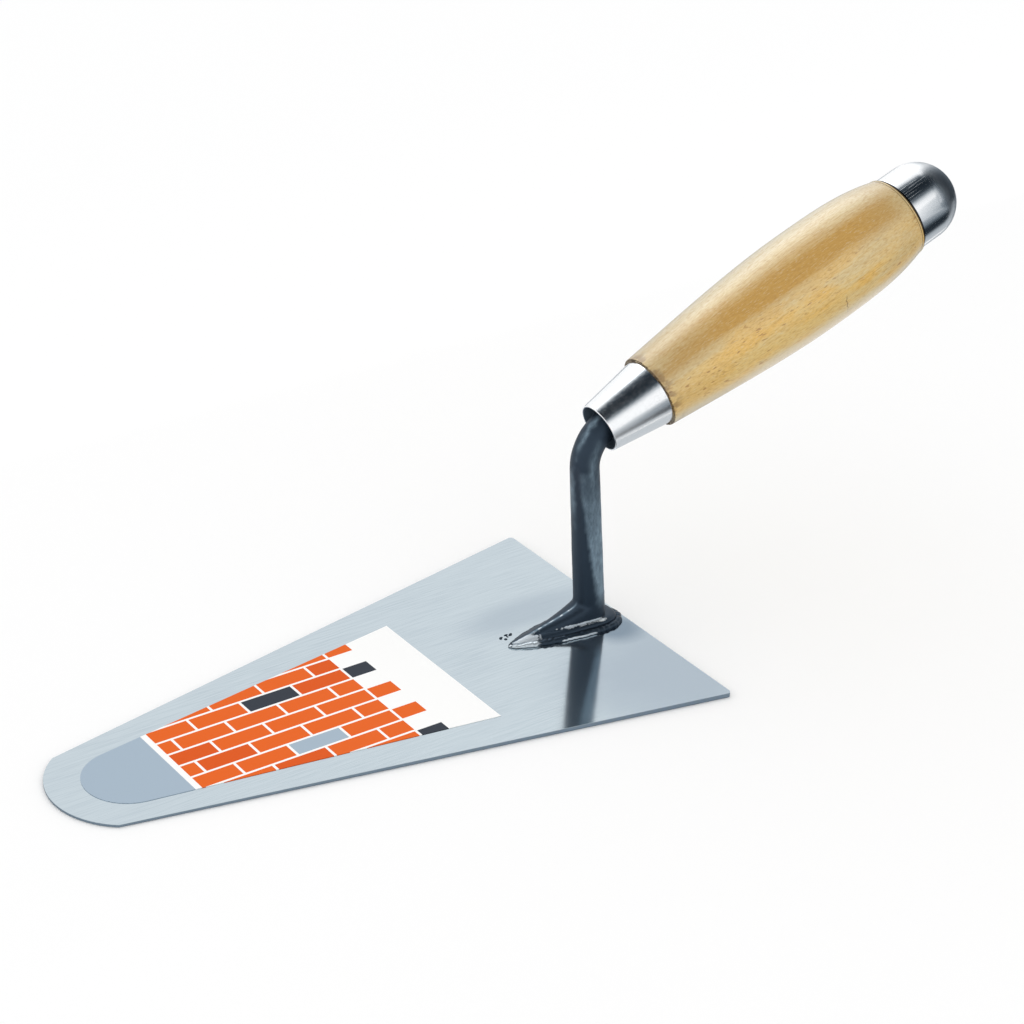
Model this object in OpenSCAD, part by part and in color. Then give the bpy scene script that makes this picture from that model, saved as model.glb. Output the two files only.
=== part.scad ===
// Round-tip brick trowel: welded forged shank, turned beech handle, plated ferrule and end cap
// Sizes are in millimetres and angles in degrees. +X runs towards the blade's tip and +Z is up.
// The origin lies on the blade's underside, below the shank.

/* [Blade] */
// Length of the blade from its heel to its tip
blade_len = 200; // [140:1:260]
// Width of the blade across its heel, before the corners are rounded
heel_w = 118; // [90:1:150]
// Width of the blade where its round tip starts
tip_w = 41; // [34:0.5:48]
// Radius of the round tip
tip_r = 25.7; // [25:0.1:40]
// Radius of the two heel corners
heel_corner_r = 1.2; // [0.6:0.1:6]
// Thickness of the blade at its heel
heel_t = 1.5; // [1.2:0.1:2.5]
// Thickness of the blade at its tip
tip_t = 0.8; // [0.6:0.1:1.2]

/* [Label] */
// Distance from the heel to the label's back edge
label_back = 67; // [60:1:80]
// Width of the label at its back edge
label_back_w = 63.5; // [50:0.5:70]
// Radius of the label's round front end
label_tip_r = 14.5; // [10:0.5:17]
// Bare metal left between the label and the blade's tip
label_tip_margin = 10.5; // [6:0.5:20]
// Thickness of the label's film
label_t = 0.15; // [0.1:0.05:0.3]

/* [Shank] */
// Bare steel left between the weld and the heel
heel_margin = 0.35; // [0.2:0.05:8]
// Diameter of the neck
neck_d = 9.3; // [8:0.1:12]
// Forward lean of the neck
neck_lean = 4.4; // [0:0.1:8]
// Height above the blade's underside where the neck's axis and the handle's axis meet
elbow_z = 67.1; // [58:0.1:85]
// Radius of the elbow along the neck's axis
elbow_r = 14; // [11:0.5:16]
// Reach of the foot's nose in front of the shank's axis
nose_reach = 30; // [22:0.5:38]
// Reach of the foot's rear end behind the shank's axis
foot_rear = 8.4; // [7:0.1:12]
// Width of the foot across the blade
foot_w = 13.4; // [12.5:0.1:18]
// Height of the foot's shoulders above the blade
foot_h = 2.8; // [2.4:0.1:6]
// Slope of the crest that falls from the neck to the nose
crest_slope = 13; // [10:0.5:22]
// Hollow of the curve between the crest and the neck
crest_blend = 3.2; // [1:0.1:6]
// Length of the shoulder between the elbow and the wood
tang_shoulder = 4.7; // [2:0.1:8]
// Width of the tang's flats where it enters the wood
tang_w = 7.4; // [6:0.1:8]
// Width of the tang's flats at its point
tang_tip_w = 4; // [3:0.1:6]
// Length of the tang inside the wood
tang_len = 76; // [50:1:85]

/* [Weld] */
// Height of the weld up the foot's edge
weld_h = 1.6; // [1:0.1:2.2]
// Reach of the weld out over the blade
weld_reach = 2; // [1.2:0.1:2.5]
// Bulge of the weld's face
weld_bulge = 0.35; // [0.1:0.05:0.5]

/* [Ferrule] */
// Distance along the handle from the elbow's corner to the ferrule's mouth
mouth_gap = 6.1; // [4:0.1:8]
// Room between the neck and the ferrule's mouth, all round
mouth_room = 2.85; // [2.2:0.05:5]
// Outer diameter of the ferrule's back rim
ferrule_back_d = 22.3; // [20:0.1:26]
// Length of the ferrule
ferrule_len = 20.5; // [16:0.5:30]
// Sheet thickness of the ferrule
ferrule_wall = 0.7; // [0.5:0.05:1]
// Rounding of the ferrule's rims
ferrule_rim = 0.2; // [0.1:0.05:0.25]

/* [Grip] */
// Rise of the handle above the blade's plane
grip_rise = 21.2; // [10:0.1:35]
// Length of bare wood between the ferrule and the end cap
grip_len = 103.8; // [92:0.1:130]
// Height of the wood's front shoulder above the ferrule
front_step = 1; // [0.3:0.1:3]
// Largest diameter of the wood
grip_max_d = 33.8; // [30:0.1:40]
// Distance from the front shoulder to the largest diameter
grip_max_at = 65.5; // [50:0.5:75]
// Height of the wood's rear shoulder above the end cap
rear_step = 0.8; // [0.3:0.1:2]
// Radius of the bead turned on the rear shoulder
rear_round = 0.7; // [0.2:0.1:1.5]
// Depth of the turned crease in front of the bead
crease_deep = 0.15; // [0.05:0.05:0.2]

/* [End cap] */
// Outer diameter of the cap
cap_d = 26; // [24:0.1:29]
// Length of the cap
cap_len = 21.8; // [18:0.1:30]
// Sheet thickness of the cap
cap_wall = 0.7; // [0.5:0.05:1]
// Rounding of the cap's rim
cap_rim = 0.2; // [0.1:0.05:0.25]

/* [Fits] */
// Radial clearance between the wood's spigots and the metal round them
spigot_fit = 0.05; // [0:0.01:0.15]
// Radial clearance between the tang's corners and its bore
tang_fit = 0.08; // [0.02:0.01:0.2]
// Free depth of the bore beyond the tang's point
bore_spare = 3; // [1:0.5:6]
// Chamfer on the end of the rear spigot, which keeps it clear of the cap's dome
spigot_chamfer = 1.5; // [0.5:0.1:3]

/* [Hidden] */
$fn = 72;

// Blade: its top face falls evenly from the heel to the tip
heel_x = -(foot_rear + weld_reach + heel_margin);
tip_x = heel_x + blade_len;
blade_fall = atan((heel_t - tip_t) / blade_len);
tip_half_angle = asin(tip_w / 2 / tip_r);
tip_start_x = tip_x - tip_r * (1 - cos(tip_half_angle));
side_angle = atan((heel_w - tip_w) / 2 / (tip_start_x - heel_x));
tip_steps = 28;
corner_steps = 5;

// Label
label_back_x = heel_x + label_back;
label_tip_x = tip_x - label_tip_margin;
label_steps = 24;

// Shank: rings of superellipse sections along the neck's axis, the elbow and the tang
neck_r = neck_d / 2;
foot_top_z = blade_top(0);
elbow_turn = 90 + neck_lean - grip_rise;
elbow_tangent = elbow_r * tan(elbow_turn / 2);
elbow_x = elbow_z * tan(neck_lean);
elbow_start_z = elbow_z - elbow_tangent * cos(neck_lean);
handle_lean = neck_lean - elbow_turn;
crest_top_h = weld_h + (nose_reach - neck_r) * tan(crest_slope) + crest_blend;
shank_sides = 32;
foot_rings = 14;
neck_rings = 4;
elbow_rings = 12;
tang_rings = 3;

// Roundness of the sections: 1 is a diamond, 2 an ellipse, and larger values are squarer
nose_power = 1.4;
heel_power = 2.6;
low_neck_power = 2.5;
round_power = 2;
tang_power = 4;
tang_corner = pow(2, 1 / 2 - 1 / tang_power);

// Handle: distances along its axis from the elbow's corner
mouth_s = mouth_gap;
mouth_r = neck_r + mouth_room + ferrule_wall;
spigot_s = elbow_tangent + tang_shoulder;
shoulder_s = mouth_s + ferrule_len;
rear_s = shoulder_s + grip_len;
tang_end_s = spigot_s + tang_len;
ferrule_back_r = ferrule_back_d / 2;
ferrule_taper = (ferrule_back_r - mouth_r) / ferrule_len;
cap_r = cap_d / 2;
cap_bore_r = cap_r - cap_wall;
dome_s = rear_s + cap_len - cap_r;
dome_steps = 14;
grip_steps = 12;
bead_steps = 6;
rim_steps = 3;

// Fullness of the turned profile, as shares of its front and rear stretches
swell_lead = 0.34;
swell_rise = 0.45;
swell_tail = 0.31;
fall_lead = 0.41;
fall_tail = 0.31;

// Height of the blade's top face at a distance along X
function blade_top(x) = heel_t - (x - heel_x) * tan(blade_fall);

// Points on an arc from one angle to another
function arc(cx, cy, r, from, to, steps) =
    [for (i = [0:steps]) let (a = from + (to - from) * i / steps) [cx + r * cos(a), cy + r * sin(a)]];

// Points on a cubic curve through its two end points
function curve(a, b, c, d, steps) =
    [for (i = [0:steps]) let (t = i / steps, u = 1 - t)
        u * u * u * a + 3 * u * u * t * b + 3 * u * t * t * c + t * t * t * d];

// The larger of two values, with a smooth passage where they cross
function soft_max(a, b, blend) = (a + b + sqrt((a - b) * (a - b) + blend * blend)) / 2;

// A value between two others, held at either end
function mix(a, b, t) = a + (b - a) * min(1, max(0, t));

// The same outline on the other side of the centre line, in reverse order
function mirrored(points) = [for (i = [len(points) - 1:-1:0]) [points[i][0], -points[i][1]]];

// Radius outside the ferrule at a distance along the handle's axis
function ferrule_skin(s) = mouth_r + (s - mouth_s) * ferrule_taper;

// Radius inside the ferrule at a distance along the handle's axis
function ferrule_bore(s) = ferrule_skin(s) - ferrule_wall;

// Circle round the tang's corners at a distance along the handle's axis
function tang_round(s) = tang_corner * mix(tang_w, tang_tip_w, (s - spigot_s) / tang_len) / 2;

// One section of the shank, in its own plane: points by front reach, rear reach and half width
function section(front, rear, half_w, front_power, rear_power) =
    [for (i = [0:shank_sides - 1])
        let (a = 360 * i / shank_sides, c = cos(a), s = sin(a), ahead = c > 0)
        let (p = 2 / (ahead ? front_power : rear_power))
        [(ahead ? front : rear) * sign(c) * pow(abs(c), p), half_w * sign(s) * pow(abs(s), p)]];

// A section set across the axis at a point, leaning forward by an angle
function placed(points, x, z, lean) =
    [for (p = points) [x + p[0] * cos(lean), p[1], z - p[0] * sin(lean)]];

// Share of the way up from the weld to the foot's shoulders
function foot_share(h) = min(1, max(0, (h - weld_h) / (foot_h - weld_h)));

// Foot's swell outside the neck, full at the weld and gone at the shoulders
function foot_swell(h) = sqrt(1 - foot_share(h) * foot_share(h));

// Reach of the crest in front of the axis at a height above the blade
function crest_reach(h) =
    soft_max(neck_r, nose_reach - (max(h, weld_h) - weld_h) / tan(crest_slope), crest_blend);

// Outline of the foot at a height above the blade
function foot_section(h) =
    section(
        crest_reach(h),
        neck_r + (foot_rear - neck_r) * foot_swell(h),
        neck_r + (foot_w / 2 - neck_r) * foot_swell(h),
        mix(nose_power, low_neck_power, (h - foot_h) / (crest_top_h - foot_h)),
        mix(heel_power, low_neck_power, foot_share(h)));

// The foot's ring at a height above the blade: the lowest lies on the blade's sloping face
function foot_ring(h) =
    placed(foot_section(h), h * tan(neck_lean), foot_top_z + h, mix(blade_fall, neck_lean, h / crest_top_h));

// Heights of the foot's rings above the blade
foot_heights = concat(
    [0, weld_h],
    [for (i = [1:foot_rings]) weld_h + (crest_top_h - weld_h) * i / foot_rings]);

// The neck from the crest to the elbow, flat-sided at first and round at the elbow
neck_start_z = foot_top_z + crest_top_h;
neck_ring_list = [for (i = [1:neck_rings])
    let (t = i / neck_rings, z = mix(neck_start_z, elbow_start_z, t))
    let (power = mix(low_neck_power, round_power, t))
    placed(section(neck_r, neck_r, neck_r, power, power), z * tan(neck_lean), z, neck_lean)];

// The elbow turns about a centre behind the neck
elbow_centre_x = elbow_start_z * tan(neck_lean) - elbow_r * cos(neck_lean);
elbow_centre_z = elbow_start_z + elbow_r * sin(neck_lean);
elbow_ring_list = [for (i = [1:elbow_rings])
    let (lean = neck_lean - elbow_turn * i / elbow_rings)
    placed(
        section(neck_r, neck_r, neck_r, round_power, round_power),
        elbow_centre_x + elbow_r * cos(lean),
        elbow_centre_z - elbow_r * sin(lean),
        lean)];

// The tang from its shoulder at the wood's face to its point
tang_ring_list = [for (i = [0:tang_rings])
    let (s = spigot_s + tang_len * i / tang_rings)
    let (half = mix(tang_w, tang_tip_w, i / tang_rings) / 2)
    placed(
        section(half, half, half, tang_power, tang_power),
        elbow_x + s * sin(handle_lean),
        elbow_z + s * cos(handle_lean),
        handle_lean)];

// A closed solid through rings with equal counts of points
module loft(rings) {
    n = len(rings[0]);
    last = len(rings) - 1;
    sides = [for (k = [0:last - 1], i = [0:n - 1])
        let (j = (i + 1) % n, low = k * n, high = low + n)
        each [[low + i, high + i, low + j], [low + j, high + i, high + j]]];
    bottom = [[for (i = [0:n - 1]) i]];
    top = [[for (i = [n - 1:-1:0]) last * n + i]];
    polyhedron([for (r = rings) each r], concat(sides, bottom, top));
}

// Sets its children along the handle's axis, with the elbow's corner at zero
module along_handle() {
    translate([elbow_x, 0, elbow_z]) rotate([0, handle_lean, 0]) children();
}

module blade() {
    corner_x = heel_x + heel_corner_r;
    corner_y = heel_w / 2 - heel_corner_r * tan((90 + side_angle) / 2);
    heel_corner = arc(corner_x, corner_y, heel_corner_r, 180, 90 - side_angle, corner_steps);
    tip = arc(tip_x - tip_r, 0, tip_r, tip_half_angle, -tip_half_angle, tip_steps);
    color("lightsteelblue")
    intersection() {
        linear_extrude(heel_t) polygon(concat(heel_corner, tip, mirrored(heel_corner)));
        rotate([90, 0, 0]) translate([0, 0, -heel_w / 2])
            linear_extrude(heel_w)
                polygon([[heel_x, 0], [tip_x, 0], [tip_x, tip_t], [heel_x, heel_t]]);
    }
}

module blade_label() {
    // Its sides are tangent to the round front end
    centre_x = label_tip_x - label_tip_r;
    run = centre_x - label_back_x;
    rise = label_back_w / 2;
    side = atan(rise / run) + acos(label_tip_r / sqrt(run * run + rise * rise));
    front = arc(centre_x - heel_x, 0, label_tip_r, 180 - side, side - 180, label_steps);
    back = label_back_x - heel_x;
    color("orangered")
    translate([heel_x, 0, heel_t]) rotate([0, blade_fall, 0])
        linear_extrude(label_t)
            polygon(concat([[back, label_back_w / 2]], front, [[back, -label_back_w / 2]]));
}

module shank() {
    color([0.16, 0.21, 0.26])
    loft(concat([for (h = foot_heights) foot_ring(h)], neck_ring_list, elbow_ring_list, tang_ring_list));
}

module weld_bead() {
    inner = foot_section(0);
    n = len(inner);
    // Plan direction straight out from the foot's outline
    out = [for (i = [0:n - 1])
        let (d = inner[(i + 1) % n] - inner[(i + n - 1) % n])
        [d[1], -d[0]] / norm(d)];
    low = foot_ring(0);
    high = foot_ring(weld_h);
    toe = [for (i = [0:n - 1]) let (x = inner[i][0] + weld_reach * out[i][0])
        [x, inner[i][1] + weld_reach * out[i][1], blade_top(x)]];
    face = [for (i = [0:n - 1])
        (toe[i] + high[i]) / 2 + weld_bulge * [out[i][0], out[i][1], 1] / sqrt(2)];
    color([0.45, 0.5, 0.55])
    polyhedron(concat(low, high, face, toe), [for (k = [0:3], i = [0:n - 1])
        let (j = (i + 1) % n, a = k * n, b = ((k + 1) % 4) * n)
        each [[a + i, a + j, b + i], [a + j, b + j, b + i]]]);
}

module ferrule() {
    front_s = mouth_s + ferrule_rim;
    back_s = shoulder_s - ferrule_rim;
    color("gainsboro")
    along_handle() rotate_extrude()
        polygon(concat(
            arc(ferrule_bore(front_s) + ferrule_rim, front_s, ferrule_rim, 180, 270, rim_steps),
            arc(ferrule_skin(front_s) - ferrule_rim, front_s, ferrule_rim, 270, 360, rim_steps),
            arc(ferrule_skin(back_s) - ferrule_rim, back_s, ferrule_rim, 0, 90, rim_steps),
            [[ferrule_bore(shoulder_s), shoulder_s]]));
}

module grip() {
    front_r = ferrule_back_r + front_step;
    max_r = grip_max_d / 2;
    rear_r = cap_r + rear_step;
    max_s = shoulder_s + grip_max_at;
    // The bead runs from the crease's bottom round to the rear face
    bead_s = rear_s - rear_round;
    bead_turn = acos(1 - crease_deep / rear_round);
    bead = arc(rear_r - rear_round, bead_s, rear_round, -bead_turn, 90, bead_steps);
    crease_s = bead_s - rear_round * sin(bead_turn) - crease_deep;
    fall_len = crease_s - max_s;
    swell = curve(
        [front_r, shoulder_s],
        [mix(front_r, max_r, swell_rise), shoulder_s + swell_lead * grip_max_at],
        [max_r, max_s - swell_tail * grip_max_at],
        [max_r, max_s], grip_steps);
    fall = curve(
        [max_r, max_s],
        [max_r, max_s + fall_lead * fall_len],
        [max_r, crease_s - fall_tail * fall_len],
        [rear_r, crease_s], grip_steps);
    spigot_r = cap_bore_r - spigot_fit;
    spigot_end_s = dome_s + spigot_chamfer;
    bore_end_s = tang_end_s + bore_spare;
    color("burlywood")
    along_handle() difference() {
        rotate_extrude()
            polygon(concat(
                [[0, spigot_s], [ferrule_bore(spigot_s) - spigot_fit, spigot_s]],
                [[ferrule_bore(shoulder_s) - spigot_fit, shoulder_s]],
                swell, fall, bead,
                [[spigot_r, rear_s], [spigot_r, dome_s]],
                [[spigot_r - spigot_chamfer, spigot_end_s], [0, spigot_end_s]]));
        translate([0, 0, spigot_s])
            cylinder(
                h = bore_end_s - spigot_s,
                r1 = tang_round(spigot_s) + tang_fit,
                r2 = tang_round(tang_end_s) + tang_fit);
    }
}

module end_cap() {
    color("gainsboro")
    along_handle() rotate_extrude()
        polygon(concat(
            [[cap_bore_r, rear_s]],
            arc(cap_r - cap_rim, rear_s + cap_rim, cap_rim, 270, 360, rim_steps),
            arc(0, dome_s, cap_r, 0, 90, dome_steps),
            arc(0, dome_s, cap_bore_r, 90, 0, dome_steps)));
}

blade();
shank();
weld_bead();
ferrule();
grip();
end_cap();
blade_label();
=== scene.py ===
"""Looks of a round-tip brick trowel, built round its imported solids.

The classes hold their sizes in millimetres and their angles in degrees. Meshes are made in metres in the
part's own frame: +X runs towards the blade's tip, +Z is up, and the origin lies on the blade's underside
below the shank.
"""

import logging
import math
from collections.abc import Sequence
from dataclasses import dataclass
from enum import Enum
from functools import cached_property

import bmesh
import bpy
from mathutils import Matrix, Vector, noise


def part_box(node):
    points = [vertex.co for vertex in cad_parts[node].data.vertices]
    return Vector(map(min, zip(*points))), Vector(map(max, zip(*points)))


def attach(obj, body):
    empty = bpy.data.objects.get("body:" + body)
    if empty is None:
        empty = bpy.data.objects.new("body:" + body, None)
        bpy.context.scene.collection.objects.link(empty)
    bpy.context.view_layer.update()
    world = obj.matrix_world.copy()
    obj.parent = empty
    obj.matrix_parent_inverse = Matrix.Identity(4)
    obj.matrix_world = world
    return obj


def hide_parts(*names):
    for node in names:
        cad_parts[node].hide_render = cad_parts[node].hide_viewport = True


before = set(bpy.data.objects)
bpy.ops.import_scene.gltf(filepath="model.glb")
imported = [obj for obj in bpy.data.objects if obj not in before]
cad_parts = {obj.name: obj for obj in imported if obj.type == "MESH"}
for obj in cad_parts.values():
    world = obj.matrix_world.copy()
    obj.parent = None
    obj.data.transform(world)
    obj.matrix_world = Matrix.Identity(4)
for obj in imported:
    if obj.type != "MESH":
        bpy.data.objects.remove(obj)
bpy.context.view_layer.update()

MM = 0.001
MERGE_REACH = 0.002 * MM
BODY = "root"

Colour = tuple[float, float, float, float]
Point = tuple[float, float]
Triple = tuple[float, float, float]
Socket = bpy.types.NodeSocket
Value = Socket | float | int | tuple

log = logging.getLogger("trowel")


def display_colour(red: int, green: int, blue: int) -> Colour:
    """Linear colour of a colour given in display levels.

    Args:
        red: Red level from 0 to 255.
        green: Green level from 0 to 255.
        blue: Blue level from 0 to 255.

    Returns:
        The linear colour with full alpha.
    """

    def linear(level: int) -> float:
        """Linear share of one display level."""
        share = level / 255
        return share / 12.92 if share <= 0.04045 else ((share + 0.055) / 1.055) ** 2.4

    return (linear(red), linear(green), linear(blue), 1.0)


def blend(first: float, second: float, share: float) -> float:
    """Value between two others, held at either end."""
    return first + (second - first) * min(1.0, max(0.0, share))


def passage(value: float, start: float, end: float) -> float:
    """Straight passage from 0 at the start value to 1 at the end value, held at either end."""
    return blend(0.0, 1.0, (value - start) / (end - start))


def peak(value: float, middle: float, width: float) -> float:
    """Soft peak of 1 at the middle value."""
    return math.exp(-(((value - middle) / width) ** 2))


class Graph:
    """Writes a node tree as nested calls."""

    def __init__(self, tree: bpy.types.NodeTree) -> None:
        """Keeps the tree that the calls add to."""
        self.tree = tree

    def add(self, kind: str, inputs: dict | None = None, **settings: object) -> bpy.types.Node:
        """Adds a node.

        Args:
            kind: Blender's name for the kind of node.
            inputs: Values or sockets for its inputs, by name or place.
            **settings: Properties of the node.

        Returns:
            The new node.
        """
        node = self.tree.nodes.new(kind)
        for name, value in settings.items():
            setattr(node, name, value)
        for key, value in (inputs or {}).items():
            self.feed(node.inputs[key], value)
        return node

    def feed(self, socket: Socket, value: Value) -> None:
        """Links a socket to another, or sets its value.

        Args:
            socket: Input of a node.
            value: The other socket, or the value.
        """
        if isinstance(value, bpy.types.NodeSocket):
            self.tree.links.new(value, socket)
        else:
            socket.default_value = value

    def math(self, operation: str, *values: Value) -> Socket:
        """Result of a math node."""
        return self.add("ShaderNodeMath", dict(enumerate(values)), operation=operation).outputs[0]

    def clamped(self, operation: str, *values: Value) -> Socket:
        """Result of a math node, held between 0 and 1."""
        node = self.add("ShaderNodeMath", dict(enumerate(values)), operation=operation, use_clamp=True)
        return node.outputs[0]

    def product(self, first: Value, *others: Value) -> Socket:
        """Product of two or more values.

        Args:
            first: The first value.
            *others: The values that it is multiplied by, in order.

        Returns:
            The product.
        """
        for other in others:
            first = self.math("MULTIPLY", first, other)
        return first

    def vector(self, operation: str, *values: Value) -> Socket:
        """Vector result of a vector math node."""
        node = self.add("ShaderNodeVectorMath", dict(enumerate(values)), operation=operation)
        return node.outputs["Vector"]

    def length(self, vector: Value) -> Socket:
        """Length of a vector."""
        return self.add("ShaderNodeVectorMath", {0: vector}, operation="LENGTH").outputs["Value"]

    def parts(self, vector: Value) -> tuple[Socket, Socket, Socket]:
        """The three parts of a vector."""
        outputs = self.add("ShaderNodeSeparateXYZ", {0: vector}).outputs
        return outputs[0], outputs[1], outputs[2]

    def joined(self, x: Value, y: Value, z: Value) -> Socket:
        """Vector of three parts."""
        return self.add("ShaderNodeCombineXYZ", {0: x, 1: y, 2: z}).outputs[0]

    def fade(self, value: Value, start: float, end: float) -> Socket:
        """Smooth passage from 0 at the start value to 1 at the end value.

        Args:
            value: The value.
            start: Where the passage starts.
            end: Where it ends, above or below the start.

        Returns:
            The share of the passage.
        """
        inputs = {"Value": value, "From Min": start, "From Max": end}
        node = self.add("ShaderNodeMapRange", inputs, interpolation_type="SMOOTHSTEP")
        return node.outputs["Result"]

    def fade_from(self, value: Value, origin: float, offsets: Point) -> Socket:
        """Smooth passage from 0 to 1 between two offsets from an origin."""
        return self.fade(value, origin + offsets[0], origin + offsets[1])

    def span(self, value: Value, low: float, high: float) -> Socket:
        """Straight passage from a low value at 0 to a high value at 1."""
        inputs = {"Value": value, "To Min": low, "To Max": high}
        return self.add("ShaderNodeMapRange", inputs).outputs["Result"]

    def swing(self, value: Value, reach: float) -> Socket:
        """Straight passage from minus a reach at 0 to plus that reach at 1."""
        return self.span(value, -reach, reach)

    def noise(self, place: Value, cells: Triple, detail: float = 2.0, rough: float = 0.5) -> Socket:
        """Soft noise between 0 and 1.

        Args:
            place: Place that the noise is read at.
            cells: Sizes of the noise's cells along the axes.
            detail: Count of finer layers.
            rough: Strength of the finer layers.

        Returns:
            The noise.
        """
        spot = self.vector("DIVIDE", place, cells)
        inputs = {"Vector": spot, "Scale": 1.0, "Detail": detail, "Roughness": rough}
        return self.add("ShaderNodeTexNoise", inputs).outputs[0]

    def attribute(self, name: str) -> Socket:
        """Value of one of the mesh's attributes."""
        return self.add("ShaderNodeAttribute", attribute_name=name).outputs["Fac"]

    def mix(self, share: Value, first: Value, second: Value) -> Socket:
        """Colour between two others."""
        return self.add("ShaderNodeMix", {0: share, 6: first, 7: second}, data_type="RGBA").outputs[2]

    def ramp(self, value: Value, stops: Sequence[tuple[float, Colour]], stepped: bool = False) -> Socket:
        """Colour read off a list of stops.

        Args:
            value: Where the colour is read, from 0 to 1.
            stops: Places and their colours, in order.
            stepped: Holds each colour up to the next stop.

        Returns:
            The colour.
        """
        node = self.add("ShaderNodeValToRGB", {0: value})
        node.color_ramp.interpolation = "CONSTANT" if stepped else "LINEAR"
        elements = node.color_ramp.elements
        while len(elements) < len(stops):
            elements.new(0.5)
        for element, (place, colour) in zip(elements, stops):
            element.position = place
            element.color = colour
        return node.outputs[0]

    def bump(self, height: Value, depth: float, normal: Socket | None = None) -> Socket:
        """Normal bent by a height.

        Args:
            height: Height from 0 to 1.
            depth: Height of 1, in millimetres.
            normal: Normal that is bent, where it isn't the surface's own.

        Returns:
            The bent normal.
        """
        inputs: dict = {"Height": height, "Distance": depth * MM}
        if normal is not None:
            inputs["Normal"] = normal
        return self.add("ShaderNodeBump", inputs).outputs[0]

    def place(self) -> Socket:
        """Place on the object, in millimetres.

        Returns:
            The place.
        """
        coordinates = self.add("ShaderNodeTexCoord").outputs["Object"]
        node = self.add("ShaderNodeVectorMath", {0: coordinates, "Scale": 1 / MM}, operation="SCALE")
        return node.outputs["Vector"]


@dataclass(frozen=True)
class HandleAxis:
    """The straight line that the turned pieces share, with the elbow's corner at zero."""

    elbow_z: float = 67.1
    neck_lean: float = 4.4
    rise: float = 21.2

    @property
    def lean(self) -> float:
        """Angle from +Z to the handle, about +Y, in radians."""
        return math.radians(self.rise - 90)

    @property
    def corner(self) -> Vector:
        """Corner where the neck's axis meets the handle's, in millimetres."""
        return Vector((self.elbow_z * math.tan(math.radians(self.neck_lean)), 0.0, self.elbow_z))

    @property
    def matrix(self) -> Matrix:
        """Places a turned piece, in metres, along the handle."""
        return Matrix.Translation(self.corner * MM) @ Matrix.Rotation(self.lean, 4, "Y")

    def local(self, graph: Graph) -> Socket:
        """Place on the object in the handle's own frame, with its length along Z, in millimetres."""
        inputs = {"Vector": graph.place(), "Location": tuple(self.corner), "Rotation": (0.0, self.lean, 0.0)}
        return graph.add("ShaderNodeMapping", inputs, vector_type="TEXTURE").outputs[0]


AXIS = HandleAxis()


@dataclass(frozen=True)
class Finish:
    """A surface finish that becomes one material."""

    def material(self) -> bpy.types.Material:
        """Makes the material.

        Returns:
            A material with the finish's nodes.
        """
        material = bpy.data.materials.new(self.name)
        material.use_nodes = True
        graph = Graph(material.node_tree)
        graph.tree.nodes.clear()
        output = graph.add("ShaderNodeOutputMaterial")
        shader = graph.add("ShaderNodeBsdfPrincipled")
        graph.feed(output.inputs["Surface"], shader.outputs["BSDF"])
        for name, value in self.paint(graph).items():
            graph.feed(shader.inputs[name], value)
        return material

    def paint(self, graph: Graph) -> dict[str, Value]:
        """Values and sockets for the shader's inputs, by name."""
        raise NotImplementedError


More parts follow.
